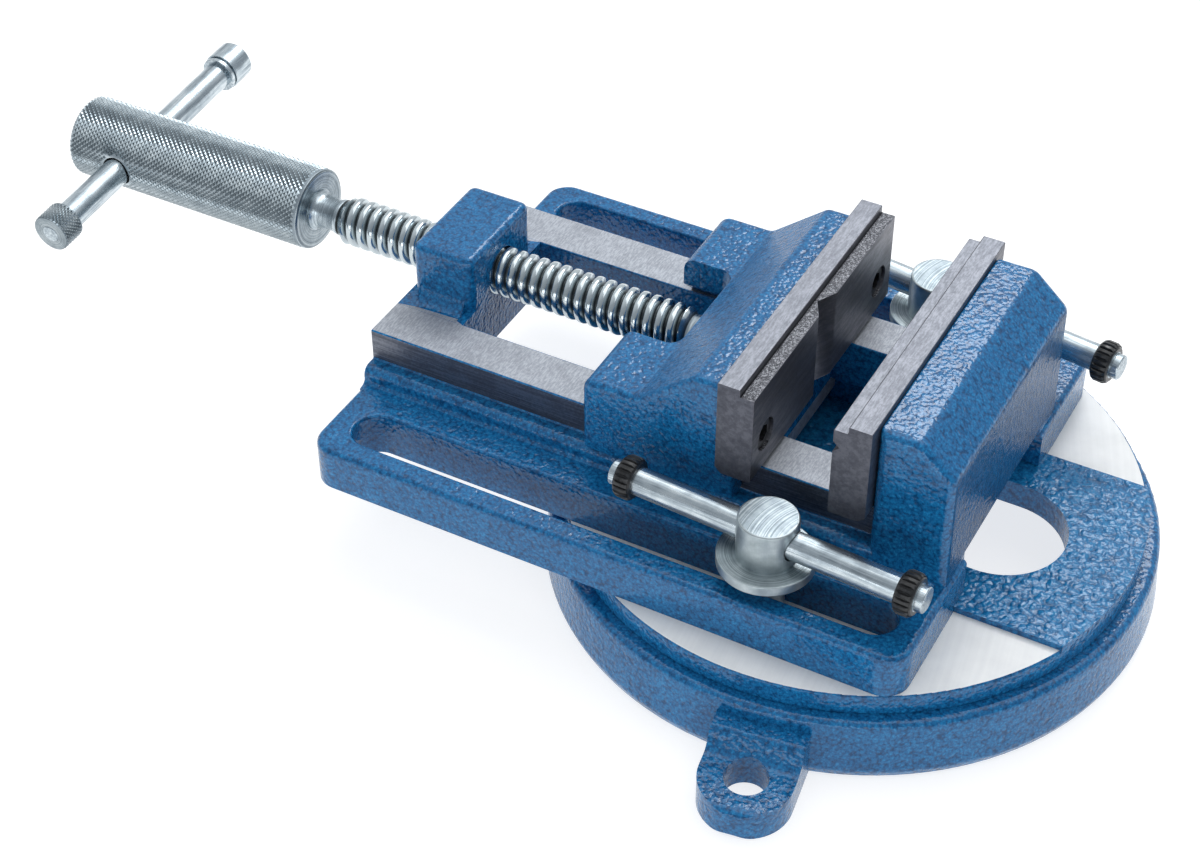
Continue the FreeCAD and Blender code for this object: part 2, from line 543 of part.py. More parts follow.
def jaw_plate(face_x, away):
    """Jaw plate standing on its gripping face at face_x; away is +1 for the fixed jaw."""
    back = face_x + away * PLATE_THICK
    ledge = face_x + away * WORK_LEDGE_DEPTH
    plate = prism_y([
        (face_x, PLATE_BOTTOM, PLATE_FOOT_ROUND),
        (face_x, PLATE_TOP - WORK_LEDGE_DROP, PLATE_EDGE_ROUND),
        (ledge, PLATE_TOP - WORK_LEDGE_DROP, 0), (ledge, PLATE_TOP, PLATE_EDGE_ROUND),
        (back, PLATE_TOP, PLATE_EDGE_ROUND),
        (back, PLATE_BOTTOM + PLATE_CHAMFER, 0), (back - away * PLATE_CHAMFER, PLATE_BOTTOM, 0)],
        -JAW_HALF_WIDTH, JAW_HALF_WIDTH)
    for side in (-1, 1):
        start = V(face_x - away * CUT_OVER, side * PLATE_SCREW_Y, PLATE_SCREW_HEIGHT)
        way = X_AXIS * away
        plate = plate.cut(rod(start, way, SCREW_HEAD + HEAD_CLEARANCE, CUT_OVER + PLATE_SEAT))
        plate = plate.cut(rod(start, way, SCREW_SHANK + HOLE_GAP, PLATE_THICK + 2 * CUT_OVER))
    return plate


def fixed_jaw_plate():
    plate = jaw_plate(FIXED_FACE, 1)
    run = GROOVE_HALF_WIDTH / GROOVE_DEPTH * CUT_OVER
    groove = prism_y([
        (FIXED_FACE - CUT_OVER, GROOVE_HEIGHT - GROOVE_HALF_WIDTH - run, 0),
        (FIXED_FACE + GROOVE_DEPTH, GROOVE_HEIGHT, 0.2),
        (FIXED_FACE - CUT_OVER, GROOVE_HEIGHT + GROOVE_HALF_WIDTH + run, 0)],
        -JAW_HALF_WIDTH - CUT_OVER, JAW_HALF_WIDTH + CUT_OVER)
    return raise_to_table(plate.cut(groove))


def moving_jaw_plate():
    plate = jaw_plate(MOVING_FACE, -1)
    run = VEE_HALF_WIDTH / VEE_DEPTH * CUT_OVER
    vee = prism_z([
        (MOVING_FACE + CUT_OVER, -VEE_HALF_WIDTH - run, 0),
        (MOVING_FACE + CUT_OVER, VEE_HALF_WIDTH + run, 0),
        (MOVING_FACE - VEE_DEPTH, 0, 0.3)],
        PLATE_BOTTOM - CUT_OVER, PLATE_TOP - WORK_LEDGE_DROP + 0.05)
    return raise_to_table(plate.cut(vee))


def socket_screw(head_end, direction, head_height):
    """Socket head screw; head_end is the middle of the head's outer face."""
    screw = turned([
        (0, 0, 0), (0, SCREW_HEAD, 0.6), (head_height, SCREW_HEAD, 0.2),
        (head_height, SCREW_SHANK, 0), (head_height + SCREW_LENGTH, SCREW_SHANK, 0.5),
        (head_height + SCREW_LENGTH, 0, 0)], head_end, direction)
    side = Z_AXIS if abs(direction.z) < 0.9 else X_AXIS
    across = direction.cross(side)
    corner = SOCKET_ACROSS_FLATS / 2 / math.cos(math.radians(30))
    points = []
    for i in range(7):
        turn = math.radians(60 * i)
        points.append(head_end - direction * CUT_OVER + side * (corner * math.cos(turn))
                      + across * (corner * math.sin(turn)))
    depth = CUT_OVER + head_height * SOCKET_SHARE
    socket = Part.Face(Part.makePolygon(points)).extrude(direction * depth)
    return screw.cut(socket)


def plate_screws(face_x, away):
    screws = [socket_screw(V(face_x + away * HEAD_SINK, side * PLATE_SCREW_Y, PLATE_SCREW_HEIGHT),
                           X_AXIS * away, SCREW_HEAD_HEIGHT) for side in (-1, 1)]
    return raise_to_table(Part.makeCompound(screws))


def moving_jaw():
    left = MOVING_LEFT
    seat = RAIL_HEIGHT + RUN_GAP
    front = MOVING_BACK + JAW_SHELF
    # Arms, ramp and top in one side view, then the shelf and the skirts beside the rails.
    body = prism_y([
        (left, seat, 0), (left, ARM_HEIGHT, ARM_ROUND), (WALL_X, ARM_HEIGHT, RAMP_FOOT_ROUND),
        (RAMP_TOP_X, JAW_TOP, ARM_ROUND), (MOVING_BACK, JAW_TOP, 0), (MOVING_BACK, seat, 0)],
        -MOVING_HALF_WIDTH, MOVING_HALF_WIDTH)
    crown = edges_where(body, lambda p: abs(abs(p.y) - MOVING_HALF_WIDTH) < 1e-4
                        and not (p.z < seat + 1e-4 or p.x > MOVING_BACK - 1e-4)
                        or abs(p.x - left) < 1e-4 and abs(abs(p.y) - MOVING_HALF_WIDTH) < 1e-4)
    body = body.makeFillet(JAW_EDGE_ROUND, crown)
    shelf = box(MOVING_BACK - CUT_OVER, front, -MOVING_HALF_WIDTH, MOVING_HALF_WIDTH, seat, PLATE_BOTTOM)
    skirt = prism_z([
        (left, RAIL_OUTER + SLIDE_GAP, 0), (left, MOVING_HALF_WIDTH, JAW_EDGE_ROUND),
        (front, MOVING_HALF_WIDTH, SKIRT_FRONT_ROUND), (front, RAIL_OUTER + SLIDE_GAP, 0)],
        SKIRT_BOTTOM, seat + CUT_OVER)
    body = fuse_all([body, shelf, skirt, mirrored(skirt)])
    # Gap between the arms, with round inner corners, and the arms' relief.
    gap = prism_z([
        (left - CUT_OVER, -ARM_INNER, 0), (WALL_X, -ARM_INNER, ARM_INNER_ROUND),
        (WALL_X, ARM_INNER, ARM_INNER_ROUND), (left - CUT_OVER, ARM_INNER, 0)],
        SKIRT_BOTTOM, JAW_TOP)
    body = body.cut(gap)
    relief = prism_x([
        (-ARM_INNER - ARM_RELIEF, seat - CUT_OVER, 0), (ARM_INNER + ARM_RELIEF, seat - CUT_OVER, 0),
        (ARM_INNER - CUT_OVER, seat + ARM_RELIEF, 0), (CUT_OVER - ARM_INNER, seat + ARM_RELIEF, 0)],
        left - CUT_OVER, WALL_X - RELIEF_TAIL)
    body = body.cut(relief)
    # Tongue between the rails, screwed to the keeper under their lips.
    tongue = box(TONGUE_LEFT, front, -TONGUE_HALF, TONGUE_HALF,
                 KEEPER_TOP, seat + CUT_OVER)
    body = body.fuse(tongue)
    body = body.cut(rod(V(WALL_X - CUT_OVER, 0, SCREW_AXIS), X_AXIS, JOURNAL_RADIUS + RUN_GAP,
                        JOURNAL_RIGHT - WALL_X + 2 * CUT_OVER))
    body = body.cut(rod(V(PIN_X, PIN_Y, KEEPER_TOP - CUT_OVER), Z_AXIS, PIN_RADIUS,
                        PIN_LENGTH + CUT_OVER))
    for side in (-1, 1):
        body = body.cut(rod(V(MOVING_BACK + CUT_OVER, side * PLATE_SCREW_Y, PLATE_SCREW_HEIGHT),
                            X_AXIS * -1, SCREW_SHANK, CUT_OVER + PLATE_GRIP))
        body = body.cut(rod(V(KEEPER_SCREW_X, side * KEEPER_SCREW_Y, KEEPER_TOP - CUT_OVER), Z_AXIS,
                            SCREW_SHANK, SCREW_LENGTH + CUT_OVER))
    return raise_to_table(body)


def retaining_pin():
    pin = rod(V(PIN_X, PIN_Y, KEEPER_TOP), Z_AXIS, PIN_RADIUS, PIN_LENGTH)
    ends = edges_where(pin, lambda p: abs(p.z - KEEPER_TOP) < 1e-4
                       or p.z > KEEPER_TOP + PIN_LENGTH - 1e-4)
    return raise_to_table(pin.makeChamfer(PIN_CHAMFER, ends))


def jaw_keeper():
    half = TUNNEL_HALF_WIDTH - KEEPER_SIDE_GAP
    right = MOVING_BACK + JAW_SHELF
    keeper = prism_z([
        (TONGUE_LEFT, -half, KEEPER_CORNER), (right, -half, KEEPER_CORNER),
        (right, half, KEEPER_CORNER), (TONGUE_LEFT, half, KEEPER_CORNER)],
        KEEPER_TOP - KEEPER_THICK, KEEPER_TOP)
    for side in (-1, 1):
        foot = V(KEEPER_SCREW_X, side * KEEPER_SCREW_Y, KEEPER_TOP - KEEPER_THICK - CUT_OVER)
        keeper = keeper.cut(rod(foot, Z_AXIS, SCREW_SHANK + HOLE_GAP, KEEPER_THICK + 2 * CUT_OVER))
        keeper = keeper.cut(rod(foot, Z_AXIS, SCREW_HEAD + HEAD_CLEARANCE,
                                CUT_OVER + LOW_HEAD_HEIGHT))
    return raise_to_table(keeper)


def keeper_screws():
    foot = KEEPER_TOP - KEEPER_THICK
    screws = [socket_screw(V(KEEPER_SCREW_X, side * KEEPER_SCREW_Y, foot), Z_AXIS, LOW_HEAD_HEIGHT)
              for side in (-1, 1)]
    return raise_to_table(Part.makeCompound(screws))


def lead_screw():
    groove = PIN_RADIUS + RUN_GAP
    tail = HUB_RIGHT - HUB_BORE_DEPTH
    cone = THREAD_LEFT + 1.0
    screw = turned([
        (tail, 0, 0), (tail, JOURNAL_RADIUS, 0.6),
        (cone - THREAD_END_RUN, JOURNAL_RADIUS, 1.0), (cone, THREAD_RADIUS, 0),
        (THREAD_RIGHT, THREAD_RADIUS, 0), (SHOULDER_X, JOURNAL_RADIUS + SHOULDER_RISE, 0),
        (SHOULDER_X, JOURNAL_RADIUS, 0), (PIN_X - groove, JOURNAL_RADIUS, 0),
        (PIN_X - groove, JOURNAL_RADIUS - GROOVE_DEEP, 0.4),
        (PIN_X + groove, JOURNAL_RADIUS - GROOVE_DEEP, 0.4), (PIN_X + groove, JOURNAL_RADIUS, 0),
        (JOURNAL_RIGHT, JOURNAL_RADIUS, 0.8), (JOURNAL_RIGHT, 0, 0)],
        V(0, 0, SCREW_AXIS), X_AXIS)
    return raise_to_table(screw)


def bar_direction():
    tilt = math.radians(BAR_TILT)
    return V(0, math.cos(tilt), math.sin(tilt))


def handle_hub():
    hub = turned([
        (HUB_LEFT, 0, 0), (HUB_LEFT, HUB_RADIUS, HUB_END_CHAMFER),
        (HUB_RIGHT, HUB_RADIUS, HUB_CHAMFER),
        (HUB_RIGHT, JOURNAL_RADIUS, 0), (HUB_RIGHT - HUB_BORE_DEPTH, JOURNAL_RADIUS, 0),
        (HUB_RIGHT - HUB_BORE_DEPTH, 0, 0)], V(0, 0, SCREW_AXIS), X_AXIS)
    way = bar_direction()
    middle = V(BAR_X, 0, SCREW_AXIS)
    reach = HUB_RADIUS + 2 * CUT_OVER
    hub = hub.cut(rod(middle - way * reach, way, BAR_RADIUS + RUN_GAP, 2 * reach))
    return raise_to_table(hub)


def tommy_bar():
    way = bar_direction()
    peened = -BAR_NEAR - PEEN_HEIGHT
    shoulder = -BAR_NEAR + KNOB_LENGTH
    head = BAR_FAR - BAR_HEAD_LENGTH
    collar = head - BAR_GROOVE_WIDTH
    bar = turned([
        (peened, 0, 0), (peened, KNOB_SPIGOT, 0.5), (shoulder, KNOB_SPIGOT, 0),
        (shoulder, BAR_RADIUS, 0.3), (collar - BAR_COLLAR_LENGTH, BAR_RADIUS, 0),
        (collar - BAR_COLLAR_LENGTH, BAR_COLLAR_RADIUS, 0.3), (collar, BAR_COLLAR_RADIUS, 0.3),
        (collar, BAR_GROOVE_RADIUS, 0), (head, BAR_GROOVE_RADIUS, 0), (head, BAR_HEAD_RADIUS, 0.3),
        (BAR_FAR, BAR_HEAD_RADIUS, 0.8), (BAR_FAR, 0, 0)],
        V(BAR_X, 0, SCREW_AXIS), way)
    return raise_to_table(bar)


def tommy_bar_knob():
    way = bar_direction()
    knob = turned([
        (-BAR_NEAR, KNOB_SPIGOT, 0), (-BAR_NEAR, KNOB_RADIUS, KNOB_EDGE),
        (-BAR_NEAR + KNOB_LENGTH, KNOB_RADIUS, KNOB_EDGE), (-BAR_NEAR + KNOB_LENGTH, KNOB_SPIGOT, 0)],
        V(BAR_X, 0, SCREW_AXIS), way)
    return raise_to_table(knob)


def clamp_bolt(side, turn):
    end = BOLT_END - TABLE_TOP
    bolt = turned([
        (end, 0, 0), (end, BOLT_SHANK, 1.0), (BOLT_SEAT, BOLT_SHANK, 0),
        (BOLT_SEAT, BOLT_FLANGE_RADIUS, BOLT_FLANGE_EDGE),
        (BOLT_FLANGE_TOP, BOLT_FLANGE_RADIUS, BOLT_FLANGE_EDGE),
        (BOLT_FLANGE_TOP, BOLT_HEAD_RADIUS, 0), (BOLT_TOP, BOLT_HEAD_RADIUS, BOLT_HEAD_EDGE),
        (BOLT_TOP, 0, 0)], V(BOLT_X, side * BOLT_Y, 0), Z_AXIS)
    way = V(math.cos(math.radians(turn)), math.sin(math.radians(turn)), 0)
    middle = V(BOLT_X, side * BOLT_Y, CLAMP_BAR_HEIGHT)
    reach = BOLT_HEAD_RADIUS + 2 * CUT_OVER
    bolt = bolt.cut(rod(middle - way * reach, way, CLAMP_BAR_RADIUS + RUN_GAP, 2 * reach))
    return raise_to_table(bolt)


def clamp_bar(side, turn, shift):
    way = V(math.cos(math.radians(turn)), math.sin(math.radians(turn)), 0)
    middle = V(BOLT_X, side * BOLT_Y, CLAMP_BAR_HEIGHT) + way * shift
    inner = CLAMP_BAR_HALF - RING_SETBACK
    bar = turned([
        (-CLAMP_BAR_HALF, 0, 0), (-CLAMP_BAR_HALF, CLAMP_STUB_RADIUS, 0.5),
        (-inner, CLAMP_STUB_RADIUS, 0), (-inner, CLAMP_BAR_RADIUS, 0),
        (inner, CLAMP_BAR_RADIUS, 0), (inner, CLAMP_STUB_RADIUS, 0),
        (CLAMP_BAR_HALF, CLAMP_STUB_RADIUS, 0.5), (CLAMP_BAR_HALF, 0, 0)], middle, way)
    return raise_to_table(bar)


def bar_rings(side, turn, shift):
    way = V(math.cos(math.radians(turn)), math.sin(math.radians(turn)), 0)
    middle = V(BOLT_X, side * BOLT_Y, CLAMP_BAR_HEIGHT) + way * shift
    outer = CLAMP_BAR_HALF - RING_SETBACK
    rings = []
    for end in (-1, 1):
        rings.append(turned([
            (outer - RING_WIDTH, CLAMP_BAR_RADIUS, 0), (outer - RING_WIDTH, RING_OUTER, RING_ROUND),
            (outer, RING_OUTER, RING_ROUND), (outer, CLAMP_BAR_RADIUS, 0)], middle, way * end))
    return raise_to_table(Part.makeCompound(rings))


save("swivel_base", swivel_base())
save("turntable", turntable())
save("front_clamp_strap", clamp_strap(-1))
save("rear_clamp_strap", clamp_strap(1))
save("vise_bed", vise_bed())
save("fixed_jaw_plate", fixed_jaw_plate())
save("fixed_plate_screws", plate_screws(FIXED_FACE, 1))
save("moving_jaw", moving_jaw())
save("moving_jaw_plate", moving_jaw_plate())
save("moving_plate_screws", plate_screws(MOVING_FACE, -1))
save("jaw_keeper", jaw_keeper())
save("keeper_screws", keeper_screws())
save("retaining_pin", retaining_pin())
save("lead_screw", lead_screw())
save("handle_hub", handle_hub())
save("tommy_bar", tommy_bar())
save("tommy_bar_knob", tommy_bar_knob())
save("front_clamp_bolt", clamp_bolt(-1, FRONT_BAR_TURN))
save("rear_clamp_bolt", clamp_bolt(1, REAR_BAR_TURN))
save("front_clamp_bar", clamp_bar(-1, FRONT_BAR_TURN, FRONT_BAR_SHIFT))
save("rear_clamp_bar", clamp_bar(1, REAR_BAR_TURN, REAR_BAR_SHIFT))
save("front_bar_rings", bar_rings(-1, FRONT_BAR_TURN, FRONT_BAR_SHIFT))
save("rear_bar_rings", bar_rings(1, REAR_BAR_TURN, REAR_BAR_SHIFT))
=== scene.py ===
import math

import bmesh
import bpy
from mathutils import Matrix, Vector


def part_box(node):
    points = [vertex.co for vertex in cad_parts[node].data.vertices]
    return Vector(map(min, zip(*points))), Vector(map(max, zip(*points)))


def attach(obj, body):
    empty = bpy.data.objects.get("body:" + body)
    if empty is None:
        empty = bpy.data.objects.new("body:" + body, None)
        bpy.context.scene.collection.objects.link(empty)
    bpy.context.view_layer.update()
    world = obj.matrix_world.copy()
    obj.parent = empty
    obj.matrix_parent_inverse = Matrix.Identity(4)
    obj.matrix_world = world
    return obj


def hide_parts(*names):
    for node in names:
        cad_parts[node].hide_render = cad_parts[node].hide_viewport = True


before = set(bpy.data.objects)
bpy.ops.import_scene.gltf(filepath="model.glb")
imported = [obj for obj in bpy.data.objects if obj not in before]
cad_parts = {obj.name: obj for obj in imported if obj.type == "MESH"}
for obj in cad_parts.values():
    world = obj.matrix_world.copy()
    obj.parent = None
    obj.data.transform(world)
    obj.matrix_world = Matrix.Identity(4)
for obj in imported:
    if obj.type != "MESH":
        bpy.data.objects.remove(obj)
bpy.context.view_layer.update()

MM = 0.001
NEAR = 0.1 * MM

# Sizes of the vise that the looks are built on, in metres, in the frame of the model
SCREW_AXIS = 65 * MM
TABLE_TOP = 28 * MM
RAIL_TOP = 59.9 * MM
RAIL_STEP = 48.7 * MM
RAIL_OUTER = 40.2 * MM
RAIL_INNER = 24.35 * MM
GUIDE_HALF_WIDTH = 38 * MM
THREAD_PITCH = 4 * MM
THREAD_CREST = 8 * MM
THREAD_ROOT = 5.85 * MM
BAR_TILT = math.radians(4.35)
BAR_X = -266.8 * MM
HUB_RADIUS = 13.7 * MM
KNOB_RADIUS = 6.6 * MM
BAR_RADIUS = 4.75 * MM
CLAMP_BAR_RADIUS = 4.35 * MM
HUB_TOOTH = 0.38 * MM
KNOB_TOOTH = 0.3 * MM
JAW_BACK_X = 40 * MM
JAW_BACK_Z = 46 * MM
FIXED_STEP = 15.6 * MM
MOVING_STEP = -17.5 * MM
BOLT_X = -1 * MM
BOLT_Y = 63.2 * MM
FRONT_BAR_TURN = math.radians(-3.5)
REAR_BAR_TURN = math.radians(-7.5)


def linear(code):
    """sRGB hex to linear RGBA."""
    values = [int(code[i:i + 2], 16) / 255 for i in (1, 3, 5)]
    return [v / 12.92 if v <= 0.04045 else ((v + 0.055) / 1.055) ** 2.4 for v in values] + [1.0]


def per_mm(size):
    """Scale of a texture whose features are so many millimetres across."""
    return 1 / (size * MM)


def add(tree, kind, inputs=None, **settings):
    """Adds a node; an input is given a value, or linked where it is given another node's output."""
    made = tree.nodes.new(kind)
    for key, value in settings.items():
        setattr(made, key, value)
    for key, value in (inputs or {}).items():
        socket = made.inputs[key]
        if isinstance(value, bpy.types.NodeSocket):
            tree.links.new(value, socket)
        else:
            socket.default_value = value
    return made


def maths(tree, operation, *values):
    """Output of a maths node over these values."""
    return add(tree, "ShaderNodeMath", dict(enumerate(values)), operation=operation).outputs[0]


def new_material(name, metallic, roughness):
    """A material with its shader's even values set; returns it with its tree, shader and place."""
    made = bpy.data.materials.new(name)
    made.use_nodes = True
    tree = made.node_tree
    shader = tree.nodes["Principled BSDF"]
    shader.inputs["Metallic"].default_value = metallic
    shader.inputs["Roughness"].default_value = roughness
    place = add(tree, "ShaderNodeTexCoord").outputs["Object"]
    return made, tree, shader, place


def stretched(tree, place, turn, sizes, centre=(0, 0, 0)):
    """Place turned and squeezed so that a noise of scale 1 has features of these sizes in mm."""
    moved = add(tree, "ShaderNodeMapping", {
        "Vector": place, "Location": tuple(-c for c in centre)}, vector_type="POINT")
    turned = add(tree, "ShaderNodeMapping", {
        "Vector": moved.outputs[0], "Rotation": turn}, vector_type="POINT")
    scaled = add(tree, "ShaderNodeMapping", {
        "Vector": turned.outputs[0], "Scale": tuple(per_mm(s) for s in sizes)}, vector_type="POINT")
    return scaled.outputs[0]


def ramp(tree, fac, stops):
    """Colour ramp through (position, hex) stops."""
    made = add(tree, "ShaderNodeValToRGB", {"Fac": fac})
    elements = made.color_ramp.elements
    while len(elements) < len(stops):
        elements.new(0.5)
    for element, (position, code) in zip(elements, stops):
        element.position = position
        element.color = linear(code)
    return made.outputs["Color"]


def grey_ramp(tree, fac, low, high, start=0.0, end=1.0):
    """Number that goes from low to high as the factor goes from start to end."""
    made = add(tree, "ShaderNodeMapRange", {
        "Value": fac, "From Min": start, "From Max": end, "To Min": low, "To Max": high})
    return made.outputs["Result"]


def plus(tree, first, second, share):
    """First value plus a share of the second."""
    return add(tree, "ShaderNodeMath", {0: second, 1: share, 2: first}, operation="MULTIPLY_ADD").outputs[0]


def cloud(tree, place, size, detail=2, roughness=0.6):
    """Soft noise with features of this size in mm; it swings about a half."""
    return add(tree, "ShaderNodeTexNoise", {
        "Vector": place, "Scale": per_mm(size), "Detail": detail, "Roughness": roughness}).outputs["Fac"]


def streaks(tree, place, sizes, turn=(0, 0, 0), centre=(0, 0, 0)):
    """Noise drawn out into strokes with these lengths in mm along its own axes."""
    return add(tree, "ShaderNodeTexNoise", {
        "Vector": stretched(tree, place, turn, sizes, centre), "Scale": 1.0, "Detail": 3,
        "Roughness": 0.65}).outputs["Fac"]


def relief(tree, shader, height, depth):
    """Bumps the shader by a height, this many millimetres deep."""
    bump = add(tree, "ShaderNodeBump", {"Height": height, "Distance": depth * MM, "Strength": 1.0})
    tree.links.new(bump.outputs[0], shader.inputs["Normal"])


# How far the enamel's domes are pushed out of their even spacing
PEEL_DRIFT = (0.9 * MM,) * 3


# Hammered stoving enamel on cast iron: a thick gloss coat that shrinks into small domes, with
# more pigment in the creases between them
def hammered_enamel(name, peel, depth, crease_share=0.5, roughness=0.16, specular=0.45, strokes=None,
                    stroke_share=0.0, tones=("#0b4470", "#146095", "#1a74ab", "#2b8fc8")):
    made, tree, shader, place = new_material(name, 0.0, roughness)
    shader.inputs["Specular IOR Level"].default_value = specular
    drift = add(tree, "ShaderNodeTexNoise", {"Vector": place, "Scale": per_mm(3), "Detail": 1})
    pushed = add(tree, "ShaderNodeVectorMath", {
        0: drift.outputs["Color"], 1: PEEL_DRIFT, 2: place}, operation="MULTIPLY_ADD")
    domes = add(tree, "ShaderNodeTexVoronoi", {
        "Vector": pushed.outputs[0], "Scale": per_mm(peel), "Smoothness": 0.45}, feature="SMOOTH_F1")
    crease = add(tree, "ShaderNodeMath", {
        0: domes.outputs["Distance"], 1: domes.outputs["Distance"]}, operation="MULTIPLY").outputs[0]
    grain = cloud(tree, place, 0.7, 2, 0.7)
    patches = cloud(tree, place, 11, 3)
    height = plus(tree, cloud(tree, pushed.outputs[0], peel * 1.5, 1, 0.5), crease, -crease_share)
    height = plus(tree, height, cloud(tree, place, 7, 1), 0.8)
    shade = plus(tree, plus(tree, plus(tree, 0.1, grain, 0.85), patches, 0.25), crease, -0.4)
    if strokes:
        marks = streaks(tree, place, strokes)
        height = plus(tree, height, marks, stroke_share)
        shade = plus(tree, shade, marks, stroke_share * 0.5)
        shade = plus(tree, shade, shade, -stroke_share * 0.3)
    tint = ramp(tree, shade, list(zip((0.34, 0.53, 0.68, 0.88), tones)))
    tree.links.new(tint, shader.inputs["Base Color"])
    relief(tree, shader, height, depth)
    return made


# Ground tool steel: dull grey with fine lines that run the way the stone went
def ground_steel(name, tones, sizes, roughness=0.42, depth=0.012, blotch=9, step=None):
    made, tree, shader, place = new_material(name, 1.0, roughness)
    lines = streaks(tree, place, sizes)
    shade = plus(tree, lines, cloud(tree, place, blotch, 3, 0.6), 0.35)
    shade = plus(tree, shade, cloud(tree, place, 0.8), 0.4)
    tint = ramp(tree, shade, list(zip((0.67, 0.87, 1.07), tones)))
    rough = grey_ramp(tree, shade, roughness + 0.05, roughness - 0.04, 0.67, 1.07)
    # Where a step is given, a dark line along it at that x is painted shade in the step's corner
    if step is not None:
        across = add(tree, "ShaderNodeSeparateXYZ", {0: place}).outputs["X"]
        apart = maths(tree, "ABSOLUTE", maths(tree, "SUBTRACT", across, step))
        clear = grey_ramp(tree, apart, 0.0, 1.0, 0.15 * MM, 0.45 * MM)
        # Sockets 0, 6 and 7 of a colour mix are its factor and its two colours
        tint = add(tree, "ShaderNodeMix", {
            0: clear, 6: linear("#15171a"), 7: tint}, data_type="RGBA").outputs[2]
    tree.links.new(tint, shader.inputs["Base Color"])
    tree.links.new(rough, shader.inputs["Roughness"])
    relief(tree, shader, lines, depth)
    return made


# Bright zinc plate on turned steel: silvery with a cold tinge and marks left by the tool
def zinc_plate(name, sizes, turn=(0, 0, 0), centre=(0, 0, 0), roughness=0.22, depth=0.01,
               tones=("#8f9aa2", "#b4c0c7", "#d5dee2")):
    made, tree, shader, place = new_material(name, 1.0, roughness)
    marks = streaks(tree, place, sizes, turn, centre)
    shade = plus(tree, marks, cloud(tree, place, 5, 3), 0.5)
    tint = ramp(tree, shade, list(zip((0.56, 0.75, 0.94), tones)))
    rough = grey_ramp(tree, shade, roughness + 0.08, roughness - 0.05, 0.6, 0.9)
    tree.links.new(tint, shader.inputs["Base Color"])
    tree.links.new(rough, shader.inputs["Roughness"])
    relief(tree, shader, marks, depth)
    return made


def rings_about(tree, place, centre, axis, spacing):
    """Noise in rings about an axis (0, 1 or 2) through a centre, with the distance from it."""
    across = tuple(0.0 if axis == i else 1.0 for i in range(3))
    from_centre = add(tree, "ShaderNodeVectorMath", {0: place, 1: tuple(centre)}, operation="SUBTRACT")
    flat = add(tree, "ShaderNodeVectorMath", {0: from_centre.outputs[0], 1: across}, operation="MULTIPLY")
    radius = add(tree, "ShaderNodeVectorMath", {0: flat.outputs[0]}, operation="LENGTH").outputs["Value"]
    rings = add(tree, "ShaderNodeTexNoise", {
        "W": radius, "Scale": per_mm(spacing), "Detail": 3, "Roughness": 0.6}, noise_dimensions="1D")
    return rings.outputs["Fac"], radius


# Zinc plate on the skin between a knurl's teeth, painted darker toward the root as shade
def plated_knurl(name, root, crest, centre, turn, axis):
    made, tree, shader, place = new_material(name, 1.0, 0.24)
    turned = stretched(tree, place, turn, (1000, 1000, 1000), centre)
    radius = rings_about(tree, turned, (0, 0, 0), axis, 1.0)[1]
    out_of_root_shade = grey_ramp(tree, plus(tree, radius, cloud(tree, place, 4, 3), 0.1 * MM), 0.0, 1.0,
                      root + 0.02 * MM, crest - 0.02 * MM)
    tint = ramp(tree, out_of_root_shade, [(0.0, "#8a969e"), (0.5, "#c2cdd3"), (1.0, "#f0f5f7")])
    rough = grey_ramp(tree, out_of_root_shade, 0.5, 0.36)
    tree.links.new(tint, shader.inputs["Base Color"])
    tree.links.new(rough, shader.inputs["Roughness"])
    return made


# Zinc plate on a turned face, where the tool left rings about the axis
def turned_face(name, centre, axis, spacing=0.45, roughness=0.27, depth=0.03,
                tones=("#8d989c", "#adb8bc", "#cdd5d7")):
    made, tree, shader, place = new_material(name, 1.0, roughness)
    rings = rings_about(tree, place, centre, axis, spacing)[0]
    shade = plus(tree, rings, cloud(tree, place, 4, 3), 0.5)
    tint = ramp(tree, shade, list(zip((0.56, 0.75, 0.94), tones)))
    tree.links.new(tint, shader.inputs["Base Color"])
    relief(tree, shader, rings, depth)
    return made


# Zinc-plated rolled thread: bright on its crests, with its root painted dark as shade
def plated_thread():
    made, tree, shader, place = new_material("zinc_plated_screw", 1.0, 0.2)
    radius = rings_about(tree, place, (0, 0, SCREW_AXIS), 0, 1.0)[1]
    blotched_radius = plus(tree, radius, cloud(tree, place, 2.5, 3), 0.6 * MM)
    out_of_root_shade = grey_ramp(tree, blotched_radius, 0.0, 1.0, THREAD_ROOT + 0.2 * MM, THREAD_CREST - 0.5 * MM)
    tint = ramp(tree, out_of_root_shade, [(0.0, "#2f3335"), (0.45, "#757d80"), (1.0, "#c3cdd1")])
    rough = grey_ramp(tree, out_of_root_shade, 0.42, 0.17)
    tree.links.new(tint, shader.inputs["Base Color"])
    tree.links.new(rough, shader.inputs["Roughness"])
    relief(tree, shader, cloud(tree, place, 0.8), 0.006)
    return made


# Moulded black rubber: matt, slightly grey where it is rubbed
def black_rubber():
    made, tree, shader, place = new_material("black_rubber", 0.0, 0.3)
    rub = cloud(tree, place, 1.2, 3)
    tint = ramp(tree, rub, [(0.35, "#141517"), (0.65, "#2b2d30")])
    tree.links.new(tint, shader.inputs["Base Color"])
    relief(tree, shader, rub, 0.04)
    return made


# Black oxide on alloy steel screws: near black with an oily sheen
def black_oxide():
    made, tree, shader, place = new_material("black_oxide", 0.85, 0.36)
    tint = ramp(tree, cloud(tree, place, 1.5, 4), [(0.35, "#2b2c2f"), (0.65, "#4a4b4e")])
    tree.links.new(tint, shader.inputs["Base Color"])
    return made


